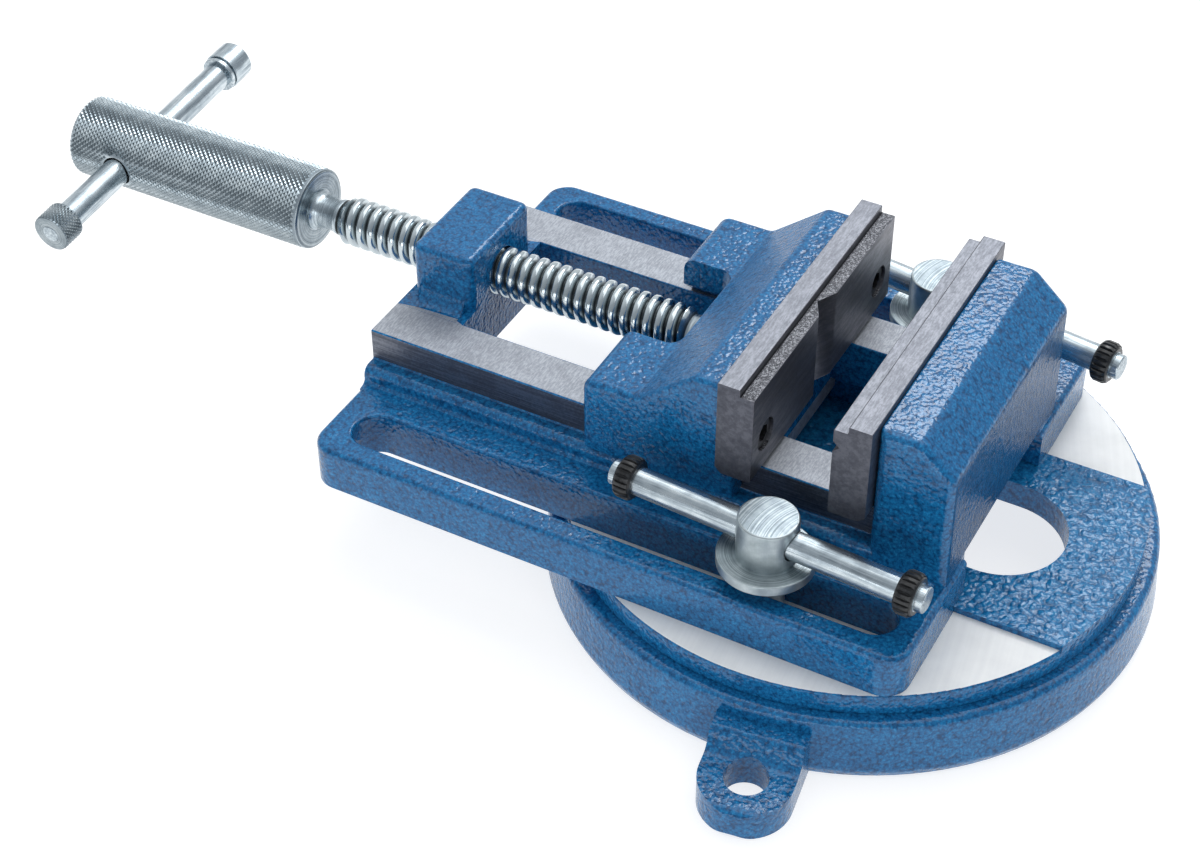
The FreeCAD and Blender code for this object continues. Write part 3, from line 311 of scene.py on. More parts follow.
# Milled cast iron pads, bright and pale, with faint arcs left by the cutter
def milled_pad():
    made, tree, shader, place = new_material("milled_pad", 0.0, 0.5)
    arcs = rings_about(tree, place, (-0.35, -0.12, 0), 2, 1.6)[0]
    shade = plus(tree, cloud(tree, place, 18, 5), arcs, 0.3)
    tint = ramp(tree, shade, [(0.45, "#e9e9e8"), (0.65, "#f1f1ef"), (0.85, "#f8f8f6")])
    tree.links.new(tint, shader.inputs["Base Color"])
    relief(tree, shader, arcs, 0.004)
    return made


# Pale studio table, lit a little from below so that it stays white in the object's shadow
def pale_floor():
    made, _, shader, _ = new_material("pale_floor", 0.0, 0.6)
    shader.inputs["Base Color"].default_value = linear("#a9a9a9")
    shader.inputs["Emission Color"].default_value = linear("#ffffff")
    shader.inputs["Emission Strength"].default_value = 0.75
    return made


ENAMEL = hammered_enamel("hammered_enamel", 1.3, 0.24)
# The raised guide's coarser enamel has lighter tones than the rest: painted light for how brightly that top
# is lit
ENAMEL_COARSE_LIT = hammered_enamel("hammered_enamel_coarse_lit", 1.7, 0.6, crease_share=0.7, roughness=0.2,
                                tones=("#145684", "#1a6fa4", "#207fb4", "#3495c4"))
# Enamel over faces that were fettled with a disc, with its strokes up the face; its tones are darker than
# the other enamel, painted shade for the jaw's back, which faces away from the light
ENAMEL_FETTLED_SHADED = hammered_enamel("hammered_enamel_fettled_shaded", 1.5, 0.34, roughness=0.24, specular=0.2,
                                 strokes=(7, 0.8, 7), stroke_share=1.4,
                                 tones=("#05355a", "#084d7d", "#0b5d92", "#1670a4"))
ENAMEL_RAMP = hammered_enamel("hammered_enamel_ramp", 1.7, 0.4, roughness=0.22, specular=0.3,
                              strokes=(6, 0.9, 6), stroke_share=1.4)
LAND_STEEL = ground_steel("ground_steel_land", ("#989ca3", "#a6aab1", "#b4b8bf"), (0.5, 3.0, 3.0),
                          roughness=0.65)
RAIL_SIDE = ground_steel("milled_rail_side", ("#555862", "#676b75", "#7c808a"), (26, 4, 0.8),
                         roughness=0.45, depth=0.012)
PLATE_TOP = ground_steel("ground_plate_top", ("#83868e", "#8f929a", "#9b9ea6"), (0.5, 3.0, 3.0),
                         roughness=0.6, blotch=6, step=FIXED_STEP)
PLATE_FACE = ground_steel("ground_plate_face", ("#6d6e74", "#787980", "#85868d"), (3, 14, 1.6),
                          roughness=0.45, depth=0.002)
PLATE_END = ground_steel("sawn_plate_end", ("#595b64", "#62646d", "#6c6e77"), (2.2, 2.2, 2.2),
                         roughness=0.55)
LEDGE_GRIP = ground_steel("rough_work_ledge", ("#37383c", "#515257", "#8b8d92"), (0.4, 0.5, 0.4),
                          roughness=0.5, depth=0.07, blotch=1.2, step=MOVING_STEP)
ZINC_SCREW = plated_thread()
ZINC_NECK = zinc_plate("zinc_plated_neck", (0.5, 8, 8), roughness=0.25)
HUB_KNURL = plated_knurl("zinc_plated_hub_knurl", HUB_RADIUS - HUB_TOOTH, HUB_RADIUS, (0, 0, SCREW_AXIS),
                         (0, 0, 0), 0)
KNOB_KNURL = plated_knurl("zinc_plated_knob_knurl", KNOB_RADIUS - KNOB_TOOTH, KNOB_RADIUS,
                          (BAR_X, 0, SCREW_AXIS), (-BAR_TILT, 0, 0), 1)
ZINC_BAR = zinc_plate("zinc_plated_tommy_bar", (1.0, 16, 1.0), (-BAR_TILT, 0, 0),
                      (BAR_X, 0, SCREW_AXIS), roughness=0.24)
ZINC_FRONT = zinc_plate("zinc_plated_front_bar", (18, 0.5, 0.5), (0, 0, -FRONT_BAR_TURN),
                        (BOLT_X, -BOLT_Y, 0), roughness=0.3)
ZINC_REAR = zinc_plate("zinc_plated_rear_bar", (18, 0.5, 0.5), (0, 0, -REAR_BAR_TURN),
                       (BOLT_X, BOLT_Y, 0), roughness=0.3)
DULL_ZINC = ("#747f86", "#929da3", "#b3bcc0")
FRONT_TURNED = turned_face("zinc_plated_front_bolt", (BOLT_X, -BOLT_Y, 0), 2, roughness=0.4)
REAR_TURNED = turned_face("zinc_plated_rear_bolt", (BOLT_X, BOLT_Y, 0), 2, roughness=0.4)
FRONT_FACED = turned_face("zinc_plated_front_bolt_top", (BOLT_X + 24 * MM, -BOLT_Y - 5 * MM, 0), 2,
                          spacing=0.6, roughness=0.42, depth=0.04, tones=DULL_ZINC)
REAR_FACED = turned_face("zinc_plated_rear_bolt_top", (BOLT_X + 24 * MM, BOLT_Y - 5 * MM, 0), 2,
                         spacing=0.6, roughness=0.42, depth=0.04, tones=DULL_ZINC)
HUB_TURNED = turned_face("zinc_plated_hub_end", (0, 0, SCREW_AXIS), 0, spacing=0.9, roughness=0.25,
                         depth=0.012, tones=DULL_ZINC)
KNOB_TURNED = turned_face("zinc_plated_knob_end", (BAR_X, 0, SCREW_AXIS - 3.7 * MM), 1, spacing=0.5,
                          depth=0.01, tones=DULL_ZINC)
RUBBER = black_rubber()
OXIDE = black_oxide()
PAD = milled_pad()


def give(name, *materials):
    """Puts materials in a carried-over part's own slots."""
    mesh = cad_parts[name].data
    mesh.materials.clear()
    for made in materials:
        mesh.materials.append(made)


def merged_copy(node):
    """Bmesh of a part's own mesh with its doubles merged; each corner remembers its true normal."""
    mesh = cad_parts[node].data.copy()
    kept = mesh.attributes.new("true_normal", "FLOAT_VECTOR", "CORNER")
    for item, corner in zip(kept.data, mesh.corner_normals):
        item.vector = corner.vector
    shape = bmesh.new()
    shape.from_mesh(mesh)
    bpy.data.meshes.remove(mesh)
    bmesh.ops.remove_doubles(shape, verts=shape.verts, dist=0.004 * MM)
    return shape


def finish_mesh(shape, name, materials, sharp=32, true_normals=False):
    """Turns a bmesh into a smooth-shaded piece with its sharp edges kept."""
    mesh = bpy.data.meshes.new(name)
    shape.to_mesh(mesh)
    shape.free()
    normals = [item.vector.copy() for item in mesh.attributes["true_normal"].data] if true_normals else None
    for attribute in [a for a in mesh.attributes if a.name in ("custom_normal", "true_normal")]:
        mesh.attributes.remove(attribute)
    for made in materials:
        mesh.materials.append(made)
    mesh.shade_smooth()
    if true_normals:
        mesh.normals_split_custom_set(normals)
    else:
        mesh.set_sharp_from_angle(angle=math.radians(sharp))
    made = bpy.data.objects.new(name, mesh)
    bpy.context.scene.collection.objects.link(made)
    return made


def weigh_normals(piece):
    """Large faces keep their own normals, so that only the rounds between them are shaded."""
    weigh = piece.modifiers.new("weigh", "WEIGHTED_NORMAL")
    weigh.weight = 100
    weigh.keep_sharp = True


def round_edges(piece, width):
    """Breaks a piece's sharp edges by this width."""
    bevel = piece.modifiers.new("round", "BEVEL")
    bevel.width = width
    bevel.segments = 2
    bevel.limit_method = "ANGLE"
    bevel.angle_limit = math.radians(40)
    bevel.harden_normals = False


def dressed_casting(node, name, body, materials, choose):
    """Copy of a casting whose faces take the material that choose gives for (centre, normal)."""
    shape = merged_copy(node)
    for face in shape.faces:
        face.smooth = True
        face.material_index = choose(face.calc_center_median(), face.normal)
    piece = finish_mesh(shape, name, materials, true_normals=True)
    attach(piece, body)
    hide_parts(node)


def bed_finish(centre, normal):
    """Rail tops are ground, rail sides milled, and the fixed jaw's back is fettled under its enamel, which
    is painted darker as shade.
    """
    across = abs(centre.y)
    if normal.z > 0.99 and abs(centre.z - RAIL_TOP) < NEAR and across > RAIL_INNER - MM:
        return 1
    if abs(normal.y) > 0.99 and abs(across - RAIL_OUTER) < NEAR and RAIL_STEP < centre.z < RAIL_TOP:
        return 2
    if centre.x > JAW_BACK_X and centre.z > JAW_BACK_Z and normal.x > 0.9:
        return 3
    return 0


def table_finish(centre, normal):
    """Pads are milled, and the raised guide between them has the coarser enamel, in lighter tones that are
    painted light.
    """
    if normal.z > 0.99 and abs(centre.y) > GUIDE_HALF_WIDTH and abs(centre.z - TABLE_TOP) < NEAR:
        return 1
    if normal.z > 0.99 and centre.z > TABLE_TOP + MM:
        return 2
    return 0


def jaw_finish(centre, normal):
    """The ramp behind the moving jaw is fettled under its enamel."""
    return 1 if normal.x < -0.4 and normal.z > 0.4 else 0


dressed_casting("swivel_base", "swivel_base_casting", "base", [ENAMEL], lambda centre, normal: 0)
dressed_casting("turntable", "turntable_casting", "table", [ENAMEL, PAD, ENAMEL_COARSE_LIT], table_finish)
dressed_casting("vise_bed", "vise_bed_casting", "vise",
                [ENAMEL, LAND_STEEL, RAIL_SIDE, ENAMEL_FETTLED_SHADED], bed_finish)
dressed_casting("moving_jaw", "moving_jaw_casting", "jaw", [ENAMEL, ENAMEL_RAMP], jaw_finish)


def dressed_plate(node, name, body, ledge):
    """Jaw plate with a fine broken edge and a finish for each way its faces look."""
    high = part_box(node)[1]
    shape = merged_copy(node)
    for face in shape.faces:
        face.smooth = True
        centre, normal = face.calc_center_median(), face.normal
        if normal.z > 0.9:
            face.material_index = 0 if centre.z > high.z - MM else 1
        elif abs(normal.y) > 0.9:
            face.material_index = 3
        else:
            face.material_index = 2
    piece = finish_mesh(shape, name, [PLATE_TOP, ledge, PLATE_FACE, PLATE_END])
    round_edges(piece, 0.22 * MM)
    weigh_normals(piece)
    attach(piece, body)
    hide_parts(node)


dressed_plate("fixed_jaw_plate", "fixed_jaw_plate_ground", "vise", PLATE_TOP)
dressed_plate("moving_jaw_plate", "moving_jaw_plate_ground", "jaw", LEDGE_GRIP)


def lathe(shape, points, segments):
    """Closed shell turned about X from (x, radius) points; end points on the axis close it."""
    rings = []
    for x, radius in points:
        if radius == 0:
            rings.append([shape.verts.new((x, 0, 0))])
        else:
            rings.append([shape.verts.new((x, radius * math.cos(a), radius * math.sin(a))) for a in
                          (2 * math.pi * i / segments for i in range(segments))])
    for first, second in zip(rings, rings[1:]):
        for i in range(segments):
            j = (i + 1) % segments
            corners = [first[i % len(first)], first[j % len(first)],
                       second[j % len(second)], second[i % len(second)]]
            unique = list(dict.fromkeys(corners))
            if len(unique) > 2:
                shape.faces.new(unique)


# Trapezoidal thread as (share of its pitch, radius): crest, flank, root, flank
THREAD_PROFILE = [(0.0, THREAD_CREST), (0.24, THREAD_CREST), (0.34, THREAD_CREST - 0.15 * MM),
                  (0.42, THREAD_CREST - 0.5 * MM), (0.54, THREAD_ROOT + 0.2 * MM), (0.59, THREAD_ROOT),
                  (0.73, THREAD_ROOT), (0.78, THREAD_ROOT + 0.2 * MM), (0.86, THREAD_CREST - 0.6 * MM),
                  (0.92, THREAD_CREST - 0.15 * MM), (1.0, THREAD_CREST)]
THREAD_LEFT = -184.0 * MM
THREAD_RIGHT = -56.6 * MM
THREAD_FADE = 3.4 * MM
THREAD_SEGMENTS = 56
# Neck by the hub, core and journal in the jaw, in mm, as (x, height over the core)
SCREW_PROFILE = [(-194.4, 0), (-193.8, 1.3), (-193.4, 1.3), (-192.6, 0.25), (-191.2, -0.1), (-186.5, -0.1),
                 (-185.2, 0.35), (-183.9, 0.5), (-183.0, 0), (-58, 0), (-57, 0.6), (-52.1, 0.6), (-52.1, 0)]


def thread_radius(share):
    """Radius of the thread at a share of its pitch."""
    share %= 1.0
    for (a, low), (b, high) in zip(THREAD_PROFILE, THREAD_PROFILE[1:]):
        if share <= b:
            return low + (high - low) * (share - a) / (b - a)
    return THREAD_CREST


def threaded_screw():
    """Lead screw with its helical thread, its neck by the hub and its journal in the jaw."""
    low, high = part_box("lead_screw")
    stations = [share for share, _ in THREAD_PROFILE[:-1]]
    first = math.floor(THREAD_LEFT / THREAD_PITCH) - 2
    last = math.ceil(THREAD_RIGHT / THREAD_PITCH) + 1
    rows = [turn + share for turn in range(first, last) for share in stations]
    sunk = THREAD_ROOT - 0.35 * MM
    shape = bmesh.new()
    grid = []
    for row in rows:
        ring = []
        for i in range(THREAD_SEGMENTS):
            around = i / THREAD_SEGMENTS
            x = (row + around) * THREAD_PITCH
            held = min(max(x, THREAD_LEFT), THREAD_RIGHT)
            ends = min(held - THREAD_LEFT, (THREAD_RIGHT - held) * 1.3) / THREAD_FADE
            limit = sunk + (THREAD_CREST - sunk) * min(1.0, ends)
            radius = min(thread_radius(row % 1.0 + (held - x) / THREAD_PITCH), limit)
            angle = 2 * math.pi * around
            ring.append(shape.verts.new((held, radius * math.cos(angle), radius * math.sin(angle))))
        grid.append(ring)
    for near, far in zip(grid, grid[1:]):
        for i in range(THREAD_SEGMENTS - 1):
            shape.faces.new((near[i], far[i], far[i + 1], near[i + 1]))
    # A turn's last column meets the first column of the next turn
    step = len(stations)
    for r in range(len(grid) - step - 1):
        shape.faces.new((grid[r][-1], grid[r + 1][-1], grid[r + step + 1][0], grid[r + step][0]))
    bmesh.ops.remove_doubles(shape, verts=shape.verts, dist=0.01 * MM)
    core = THREAD_ROOT - 0.36 * MM
    chamfer = 0.6 * MM
    lathe(shape, [(low.x, 0), (low.x, core)] + [(x * MM, core + out * MM) for x, out in SCREW_PROFILE] +
          [(high.x - chamfer, core), (high.x, core - chamfer), (high.x, 0)], THREAD_SEGMENTS)
    bmesh.ops.recalc_face_normals(shape, faces=shape.faces)
    for face in shape.faces:
        face.material_index = 0 if THREAD_LEFT < face.calc_center_median().x < THREAD_RIGHT else 1
    bmesh.ops.translate(shape, verts=shape.verts, vec=(0, 0, SCREW_AXIS))
    piece = finish_mesh(shape, "lead_screw_threaded", [ZINC_SCREW, ZINC_NECK], sharp=50)
    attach(piece, "screw")
    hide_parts("lead_screw")


threaded_screw()


def empty_tree(name, sockets):
    """Geometry tree with its named inputs and a geometry output."""
    tree = bpy.data.node_groups.new(name, "GeometryNodeTree")
    tree.interface.new_socket("Geometry", in_out="INPUT", socket_type="NodeSocketGeometry")
    for label, kind in sockets:
        tree.interface.new_socket(label, in_out="INPUT", socket_type="NodeSocket" + kind)
    tree.interface.new_socket("Geometry", in_out="OUTPUT", socket_type="NodeSocketGeometry")
    return tree, tree.nodes.new("NodeGroupInput").outputs, tree.nodes.new("NodeGroupOutput").inputs


def knurl_tree():
    """Diamond teeth set row by row round a cylinder that lies along X."""
    tree, given, result = empty_tree("diamond_knurl", [
        ("Radius", "Float"), ("Start", "Float"), ("Rows", "Int"), ("Around", "Int"),
        ("Pitch", "Float"), ("Tooth Height", "Float"), ("Clear Radius", "Float"),
        ("Clear At", "Float"), ("Clear Tilt", "Float"), ("Material", "Material")])
    count = maths(tree, "MULTIPLY", given["Rows"], given["Around"])
    index = add(tree, "GeometryNodeInputIndex").outputs[0]
    row = maths(tree, "FLOOR", maths(tree, "DIVIDE", index, given["Around"]))
    column = maths(tree, "MODULO", index, given["Around"])
    half = maths(tree, "MULTIPLY", maths(tree, "MODULO", row, 2.0), 0.5)
    angle = maths(tree, "MULTIPLY", maths(tree, "ADD", column, half),
                  maths(tree, "DIVIDE", 2 * math.pi, given["Around"]))
    seat = maths(tree, "SUBTRACT", given["Radius"], given["Tooth Height"])
    along = maths(tree, "MULTIPLY_ADD", row, maths(tree, "MULTIPLY", given["Pitch"], 0.5), given["Start"])
    place = add(tree, "ShaderNodeCombineXYZ", {
        0: along, 1: maths(tree, "MULTIPLY", maths(tree, "COSINE", angle), seat),
        2: maths(tree, "MULTIPLY", maths(tree, "SINE", angle), seat)}).outputs[0]
    points = add(tree, "GeometryNodePoints", {"Count": count, "Position": place}).outputs[0]
    # Distance of a tooth from the cross bar's axis, which passes through the cylinder's own
    offset = add(tree, "ShaderNodeCombineXYZ", {0: given["Clear At"]}).outputs[0]
    bar = add(tree, "ShaderNodeCombineXYZ", {
        1: maths(tree, "COSINE", given["Clear Tilt"]), 2: maths(tree, "SINE", given["Clear Tilt"])})
    apart = add(tree, "ShaderNodeVectorMath", {
        0: add(tree, "GeometryNodeInputPosition").outputs[0], 1: offset}, operation="SUBTRACT")
    cross = add(tree, "ShaderNodeVectorMath", {
        0: apart.outputs[0], 1: bar.outputs[0]}, operation="CROSS_PRODUCT")
    span = add(tree, "ShaderNodeVectorMath", {0: cross.outputs[0]}, operation="LENGTH").outputs["Value"]
    clear = add(tree, "FunctionNodeCompare", {0: span, 1: given["Clear Radius"]}, operation="GREATER_THAN")
    tooth = add(tree, "GeometryNodeMeshCone", {
        "Vertices": 4, "Side Segments": 1, "Radius Top": 0.22, "Radius Bottom": 1.0,
        "Depth": 1.0}, fill_type="NONE").outputs["Mesh"]
    turn = add(tree, "ShaderNodeCombineXYZ", {
        0: maths(tree, "SUBTRACT", angle, math.pi / 2)}).outputs[0]
    half_arc = maths(tree, "DIVIDE", maths(tree, "MULTIPLY", given["Radius"], math.pi), given["Around"])
    size = add(tree, "ShaderNodeCombineXYZ", {
        0: maths(tree, "MULTIPLY", given["Pitch"], 0.5), 1: half_arc,
        2: given["Tooth Height"]}).outputs[0]
    teeth = add(tree, "GeometryNodeInstanceOnPoints", {
        "Points": points, "Selection": clear.outputs[0], "Instance": tooth, "Rotation": turn,
        "Scale": size}).outputs[0]
    real = add(tree, "GeometryNodeRealizeInstances", {"Geometry": teeth}).outputs[0]
    painted = add(tree, "GeometryNodeSetMaterial", {"Geometry": real, "Material": given["Material"]})
    tree.links.new(painted.outputs[0], result[0])
    return tree


def rib_tree():
    """Straight ribs set round a ring whose axis is X."""
    tree, given, result = empty_tree("ring_ribs", [
        ("Radius", "Float"), ("Count", "Int"), ("Length", "Float"), ("Width", "Float"),
        ("Height", "Float"), ("Material", "Material")])
    index = add(tree, "GeometryNodeInputIndex").outputs[0]
    angle = maths(tree, "MULTIPLY", index, maths(tree, "DIVIDE", 2 * math.pi, given["Count"]))
    place = add(tree, "ShaderNodeCombineXYZ", {
        1: maths(tree, "MULTIPLY", maths(tree, "COSINE", angle), given["Radius"]),
        2: maths(tree, "MULTIPLY", maths(tree, "SINE", angle), given["Radius"])}).outputs[0]
    points = add(tree, "GeometryNodePoints", {"Count": given["Count"], "Position": place}).outputs[0]
    rib = add(tree, "GeometryNodeMeshCone", {
        "Vertices": 4, "Side Segments": 1, "Radius Top": 0.62,
        "Radius Bottom": 1.0, "Depth": 1.0}, fill_type="NGON").outputs["Mesh"]
    square = add(tree, "GeometryNodeTransform", {
        "Geometry": rib, "Rotation": (0, 0, math.pi / 4)}).outputs[0]
    turn = add(tree, "ShaderNodeCombineXYZ", {
        0: maths(tree, "SUBTRACT", angle, math.pi / 2)}).outputs[0]
    share = math.sqrt(0.5)
    size = add(tree, "ShaderNodeCombineXYZ", {
        0: maths(tree, "MULTIPLY", given["Length"], share),
        1: maths(tree, "MULTIPLY", given["Width"], share), 2: given["Height"]}).outputs[0]
    ribs = add(tree, "GeometryNodeInstanceOnPoints", {
        "Points": points, "Instance": square, "Rotation": turn, "Scale": size}).outputs[0]
    real = add(tree, "GeometryNodeRealizeInstances", {"Geometry": ribs}).outputs[0]
    painted = add(tree, "GeometryNodeSetMaterial", {"Geometry": real, "Material": given["Material"]})
    tree.links.new(painted.outputs[0], result[0])
    return tree


def grown(tree, values):
    """Mesh that a geometry tree makes from these named values."""
    carrier = bpy.data.objects.new("carrier", bpy.data.meshes.new("carrier"))
    bpy.context.scene.collection.objects.link(carrier)
    grow = carrier.modifiers.new("grow", "NODES")
    grow.node_group = tree
    for socket in tree.interface.items_tree:
        if socket.in_out == "INPUT" and socket.name in values:
            grow[socket.identifier] = values[socket.name]
    reading = bpy.context.evaluated_depsgraph_get()
    mesh = bpy.data.meshes.new_from_object(carrier.evaluated_get(reading))
    bpy.data.objects.remove(carrier)
    return mesh


KNURL = knurl_tree()
RIBS = rib_tree()


def open_hole(shape, centre, way, radius, gap):
    """Widens a round cross hole, so that a dark gap shows round the bar in it."""
    for vertex in shape.verts:
        offset = vertex.co - Vector(centre)
        out = offset - way * offset.dot(way)
        if radius - NEAR < out.length < radius + NEAR:
            vertex.co += out.normalized() * gap


def knurled(node, name, body, across, teeth, end_material, bore=None):
    """Turned part whose outer skin is sunk by a tooth and covered in diamond teeth.

    The grown teeth come with material index 1, so they take the end faces' material. A bore is the cross
    hole that open_hole widens, as (centre, way, radius, gap).
    """
    shape = merged_copy(node)
    back = across.inverted()
    radius, skin = teeth["Radius"], teeth["Material"]
    for vertex in shape.verts:
        local = back @ vertex.co
        out = math.hypot(local.y, local.z)
        if out > radius - 0.15 * MM:
            share = (radius - teeth["Tooth Height"]) / out
            vertex.co = across @ Vector((local.x, local.y * share, local.z * share))
    side = across.to_3x3() @ Vector((1, 0, 0))
    shape.normal_update()
    for face in shape.faces:
        face.smooth = True
        face.material_index = 1 if abs(face.normal.dot(side)) > 0.7 else 0
    if bore:
        open_hole(shape, *bore)
    mesh = grown(KNURL, teeth)
    mesh.transform(across)
    shape.from_mesh(mesh)
    bpy.data.meshes.remove(mesh)
    piece = finish_mesh(shape, name, [skin, end_material], sharp=20)
    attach(piece, body)
    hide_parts(node)


# The hub's real knurl has lines 0.9 mm apart, too fine for the picture, so it is drawn 1.3 mm apart
HUB_PITCH = 1.95 * MM
HUB_AROUND = 50
HUB_BARE = 1.5 * MM
hub_low, hub_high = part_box("handle_hub")
hub_rows = int((hub_high.x - hub_low.x - 2 * HUB_BARE) / (HUB_PITCH / 2)) + 1
bar_way = Vector((0, math.cos(BAR_TILT), math.sin(BAR_TILT)))
knurled("handle_hub", "handle_hub_knurled", "screw", Matrix.Translation((0, 0, SCREW_AXIS)), {
    "Radius": HUB_RADIUS, "Start": hub_low.x + HUB_BARE, "Rows": hub_rows, "Around": HUB_AROUND,
    "Pitch": HUB_PITCH, "Tooth Height": HUB_TOOTH, "Clear Radius": BAR_RADIUS + 1.4 * MM,
    "Clear At": BAR_X, "Clear Tilt": BAR_TILT, "Material": HUB_KNURL},
    HUB_TURNED, ((BAR_X, 0, SCREW_AXIS), bar_way, BAR_RADIUS, 0.55 * MM))

KNOB_PITCH = 1.5 * MM
KNOB_ROWS = 10
KNOB_AROUND = 30
KNOB_START = -48.1 * MM
turned_way = Matrix.Rotation(BAR_TILT, 4, "X") @ Matrix.Rotation(math.pi / 2, 4, "Z")
knurled("tommy_bar_knob", "tommy_bar_knob_knurled", "tommy",
        Matrix.Translation((BAR_X, 0, SCREW_AXIS)) @ turned_way, {
            "Radius": KNOB_RADIUS, "Start": KNOB_START, "Rows": KNOB_ROWS, "Around": KNOB_AROUND,
            "Pitch": KNOB_PITCH, "Tooth Height": KNOB_TOOTH, "Clear Radius": 0.0, "Clear At": 1.0,
            "Clear Tilt": 0.0, "Material": KNOB_KNURL}, KNOB_TURNED)


# Section of a bar's ring in mm, as (x, radius), and how far its outer face lies from the bar's middle
RING_HALF = 2.8
RING_PROFILE = [(-RING_HALF, 4.36), (-RING_HALF, 5.5), (-2.4, 5.9), (2.4, 5.9), (RING_HALF, 5.5),
                (RING_HALF, 4.36), (-RING_HALF, 4.36)]
RING_REACH = 47.9 * MM


def ribbed_rings(node, name, body, side, turn, shift):
    """Pair of moulded rings with ribs, one near each end of a clamp bar."""
    low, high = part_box(side + "_clamp_bar")
    sign = -1 if side == "front" else 1
    bar = Matrix.Translation((BOLT_X, sign * BOLT_Y, (low.z + high.z) / 2)) @ Matrix.Rotation(turn, 4, "Z")
    shape = bmesh.new()
    for end in (-1, 1):
        turned = bmesh.new()
        lathe(turned, [(x * MM, radius * MM) for x, radius in RING_PROFILE], 40)
        bmesh.ops.remove_doubles(turned, verts=turned.verts, dist=0.001 * MM)
        bmesh.ops.recalc_face_normals(turned, faces=turned.faces)
        ring = bpy.data.meshes.new("ring")
        turned.to_mesh(ring)
        turned.free()
        ribs = grown(RIBS, {"Radius": 6.12 * MM, "Count": 22, "Length": 4.7 * MM, "Width": 1.35 * MM,
                            "Height": 0.5 * MM, "Material": RUBBER})
        put = bar @ Matrix.Translation((shift + end * (RING_REACH - RING_HALF * MM), 0, 0))
        put = put @ Matrix.Rotation(0 if end > 0 else math.pi, 4, "Z")
        for mesh in (ring, ribs):
            mesh.transform(put)
            shape.from_mesh(mesh)
            bpy.data.meshes.remove(mesh)
    # The grown ribs come with material index 1
    for face in shape.faces:
        face.material_index = 0
    piece = finish_mesh(shape, name, [RUBBER])
    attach(piece, body)
    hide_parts(node)


def drilled_bolt(node, name, body, turn, sign, materials):
    """Clamp bolt with a dark gap round the bar in its head, and its top faced across."""
    shape = merged_copy(node)
    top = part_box(node)[1].z
    for face in shape.faces:
        on_top = face.normal.z > 0.99 and face.calc_center_median().z > top - NEAR
        face.material_index = 1 if on_top else 0
    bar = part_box(node.replace("bolt", "bar"))
    way = Vector((math.cos(turn), math.sin(turn), 0))
    open_hole(shape, (BOLT_X, sign * BOLT_Y, (bar[0].z + bar[1].z) / 2), way, CLAMP_BAR_RADIUS, 0.4 * MM)
    piece = finish_mesh(shape, name, materials, true_normals=True)
    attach(piece, body)
    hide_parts(node)


drilled_bolt("front_clamp_bolt", "front_clamp_bolt_turned", "front_bolt", FRONT_BAR_TURN, -1,
             [FRONT_TURNED, FRONT_FACED])
drilled_bolt("rear_clamp_bolt", "rear_clamp_bolt_turned", "rear_bolt", REAR_BAR_TURN, 1,
             [REAR_TURNED, REAR_FACED])
ribbed_rings("front_bar_rings", "front_bar_rings_ribbed", "front_bar", "front", FRONT_BAR_TURN, -0.5 * MM)
ribbed_rings("rear_bar_rings", "rear_bar_rings_ribbed", "rear_bar", "rear", REAR_BAR_TURN, 14 * MM)

give("tommy_bar", ZINC_BAR)
give("front_clamp_bar", ZINC_FRONT)
give("rear_clamp_bar", ZINC_REAR)
for hidden in ("fixed_plate_screws", "moving_plate_screws", "keeper_screws", "front_clamp_strap",
               "rear_clamp_strap"):
    give(hidden, OXIDE)
give("jaw_keeper", LAND_STEEL)
give("retaining_pin", LAND_STEEL)

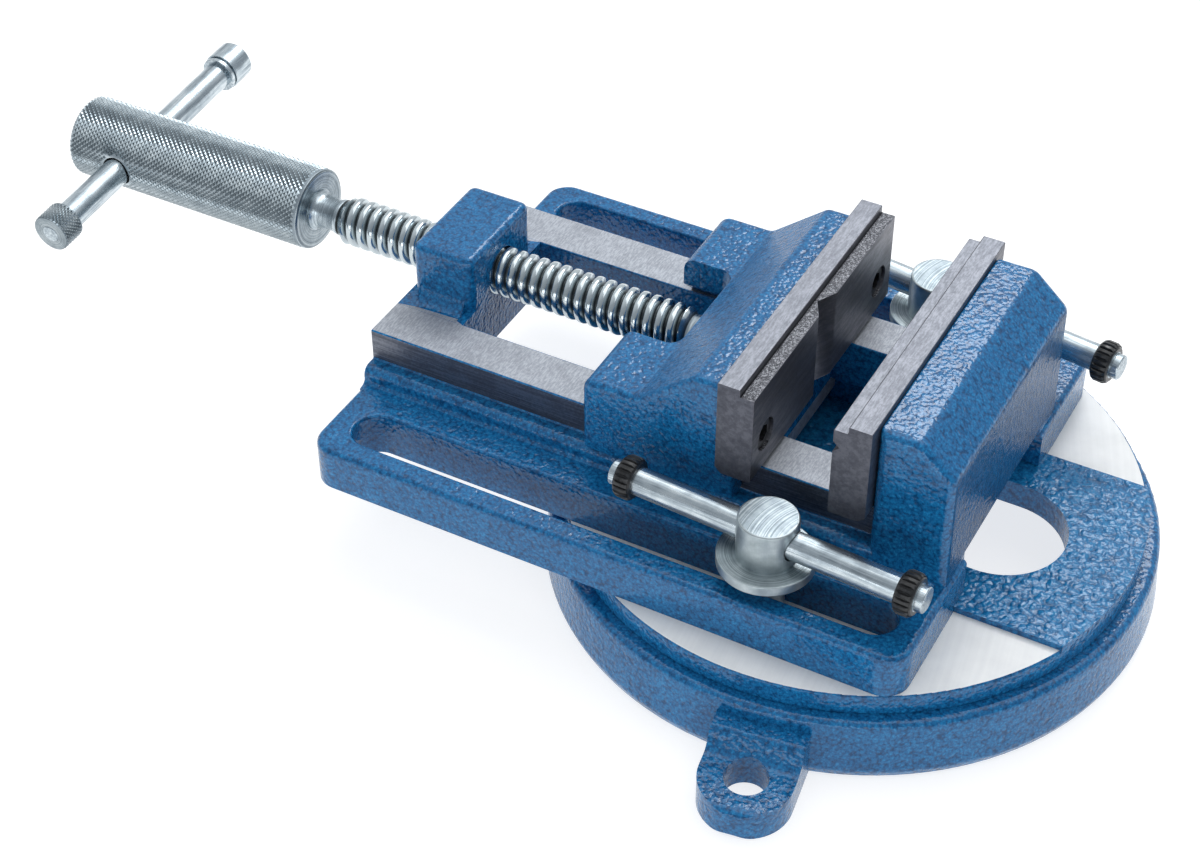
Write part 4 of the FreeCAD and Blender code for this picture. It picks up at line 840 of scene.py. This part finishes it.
# Camera at the photograph's place
LENS = 70.36
EYE = Vector((186.863, -507.176, 516.959)) * MM
AZIMUTH, ELEVATION, ROLL = (math.radians(v) for v in (28.568, 41.177, -0.211))
back = Vector((math.sin(AZIMUTH) * math.cos(ELEVATION), -math.cos(AZIMUTH) * math.cos(ELEVATION),
               math.sin(ELEVATION)))
level = Vector((math.cos(AZIMUTH), math.sin(AZIMUTH), 0))
upward = back.cross(level)
right = level * math.cos(ROLL) + upward * math.sin(ROLL)
upward = upward * math.cos(ROLL) - level * math.sin(ROLL)
lens = bpy.data.cameras.new("camera")
lens.lens = LENS
lens.sensor_width = 36
lens.sensor_fit = "HORIZONTAL"
lens.clip_start = 0.01
lens.clip_end = 50
camera = bpy.data.objects.new("camera", lens)
camera.matrix_world = Matrix.Translation(EYE) @ Matrix((right, upward, back)).transposed().to_4x4()
bpy.context.scene.collection.objects.link(camera)
bpy.context.scene.camera = camera

# Pale floor and soft studio light
floor_mesh = bpy.data.meshes.new("floor")
floor_mesh.from_pydata([(-8, -8, 0), (8, -8, 0), (8, 8, 0), (-8, 8, 0)], [], [(0, 1, 2, 3)])
floor_mesh.materials.append(pale_floor())
floor = bpy.data.objects.new("floor", floor_mesh)
bpy.context.scene.collection.objects.link(floor)


def soft_light(name, place, target, size, watts, tone):
    made = bpy.data.lights.new(name, "AREA")
    made.shape = "RECTANGLE"
    made.size, made.size_y = size
    made.energy = watts
    made.color = linear(tone)[:3]
    lamp = bpy.data.objects.new(name, made)
    lamp.location = place
    lamp.rotation_euler = (Vector(target) - Vector(place)).to_track_quat("-Z", "Y").to_euler()
    bpy.context.scene.collection.objects.link(lamp)


MIDDLE = (0, 0, 0.04)
soft_light("overhead", (0.15, 0.4, 1.5), MIDDLE, (2.0, 1.4), 9.0, "#ffffff")
soft_light("glint", (-0.1, 0.80, 0.95), MIDDLE, (0.45, 0.4), 4.0, "#fbfdff")
soft_light("front", (0.3, -1.5, 0.33), MIDDLE, (2.0, 0.4), 5.5, "#fbfdff")

world = bpy.data.worlds.new("studio")
world.use_nodes = True
sky = world.node_tree
way = add(sky, "ShaderNodeTexCoord").outputs["Generated"]
facing = add(sky, "ShaderNodeVectorMath", {0: way, 1: (-0.42, 0.62, 0.66)}, operation="DOT_PRODUCT")
glow = ramp(sky, grey_ramp(sky, facing.outputs["Value"], 0.0, 1.0, -0.55, 0.75),
            [(0.0, "#777c82"), (0.3, "#a0a5ab"), (0.6, "#aeb3b9"), (1.0, "#e6e9ec")])
sky.links.new(glow, sky.nodes["Background"].inputs["Color"])
bpy.context.scene.world = world
bpy.context.scene.view_settings.view_transform = "Standard"
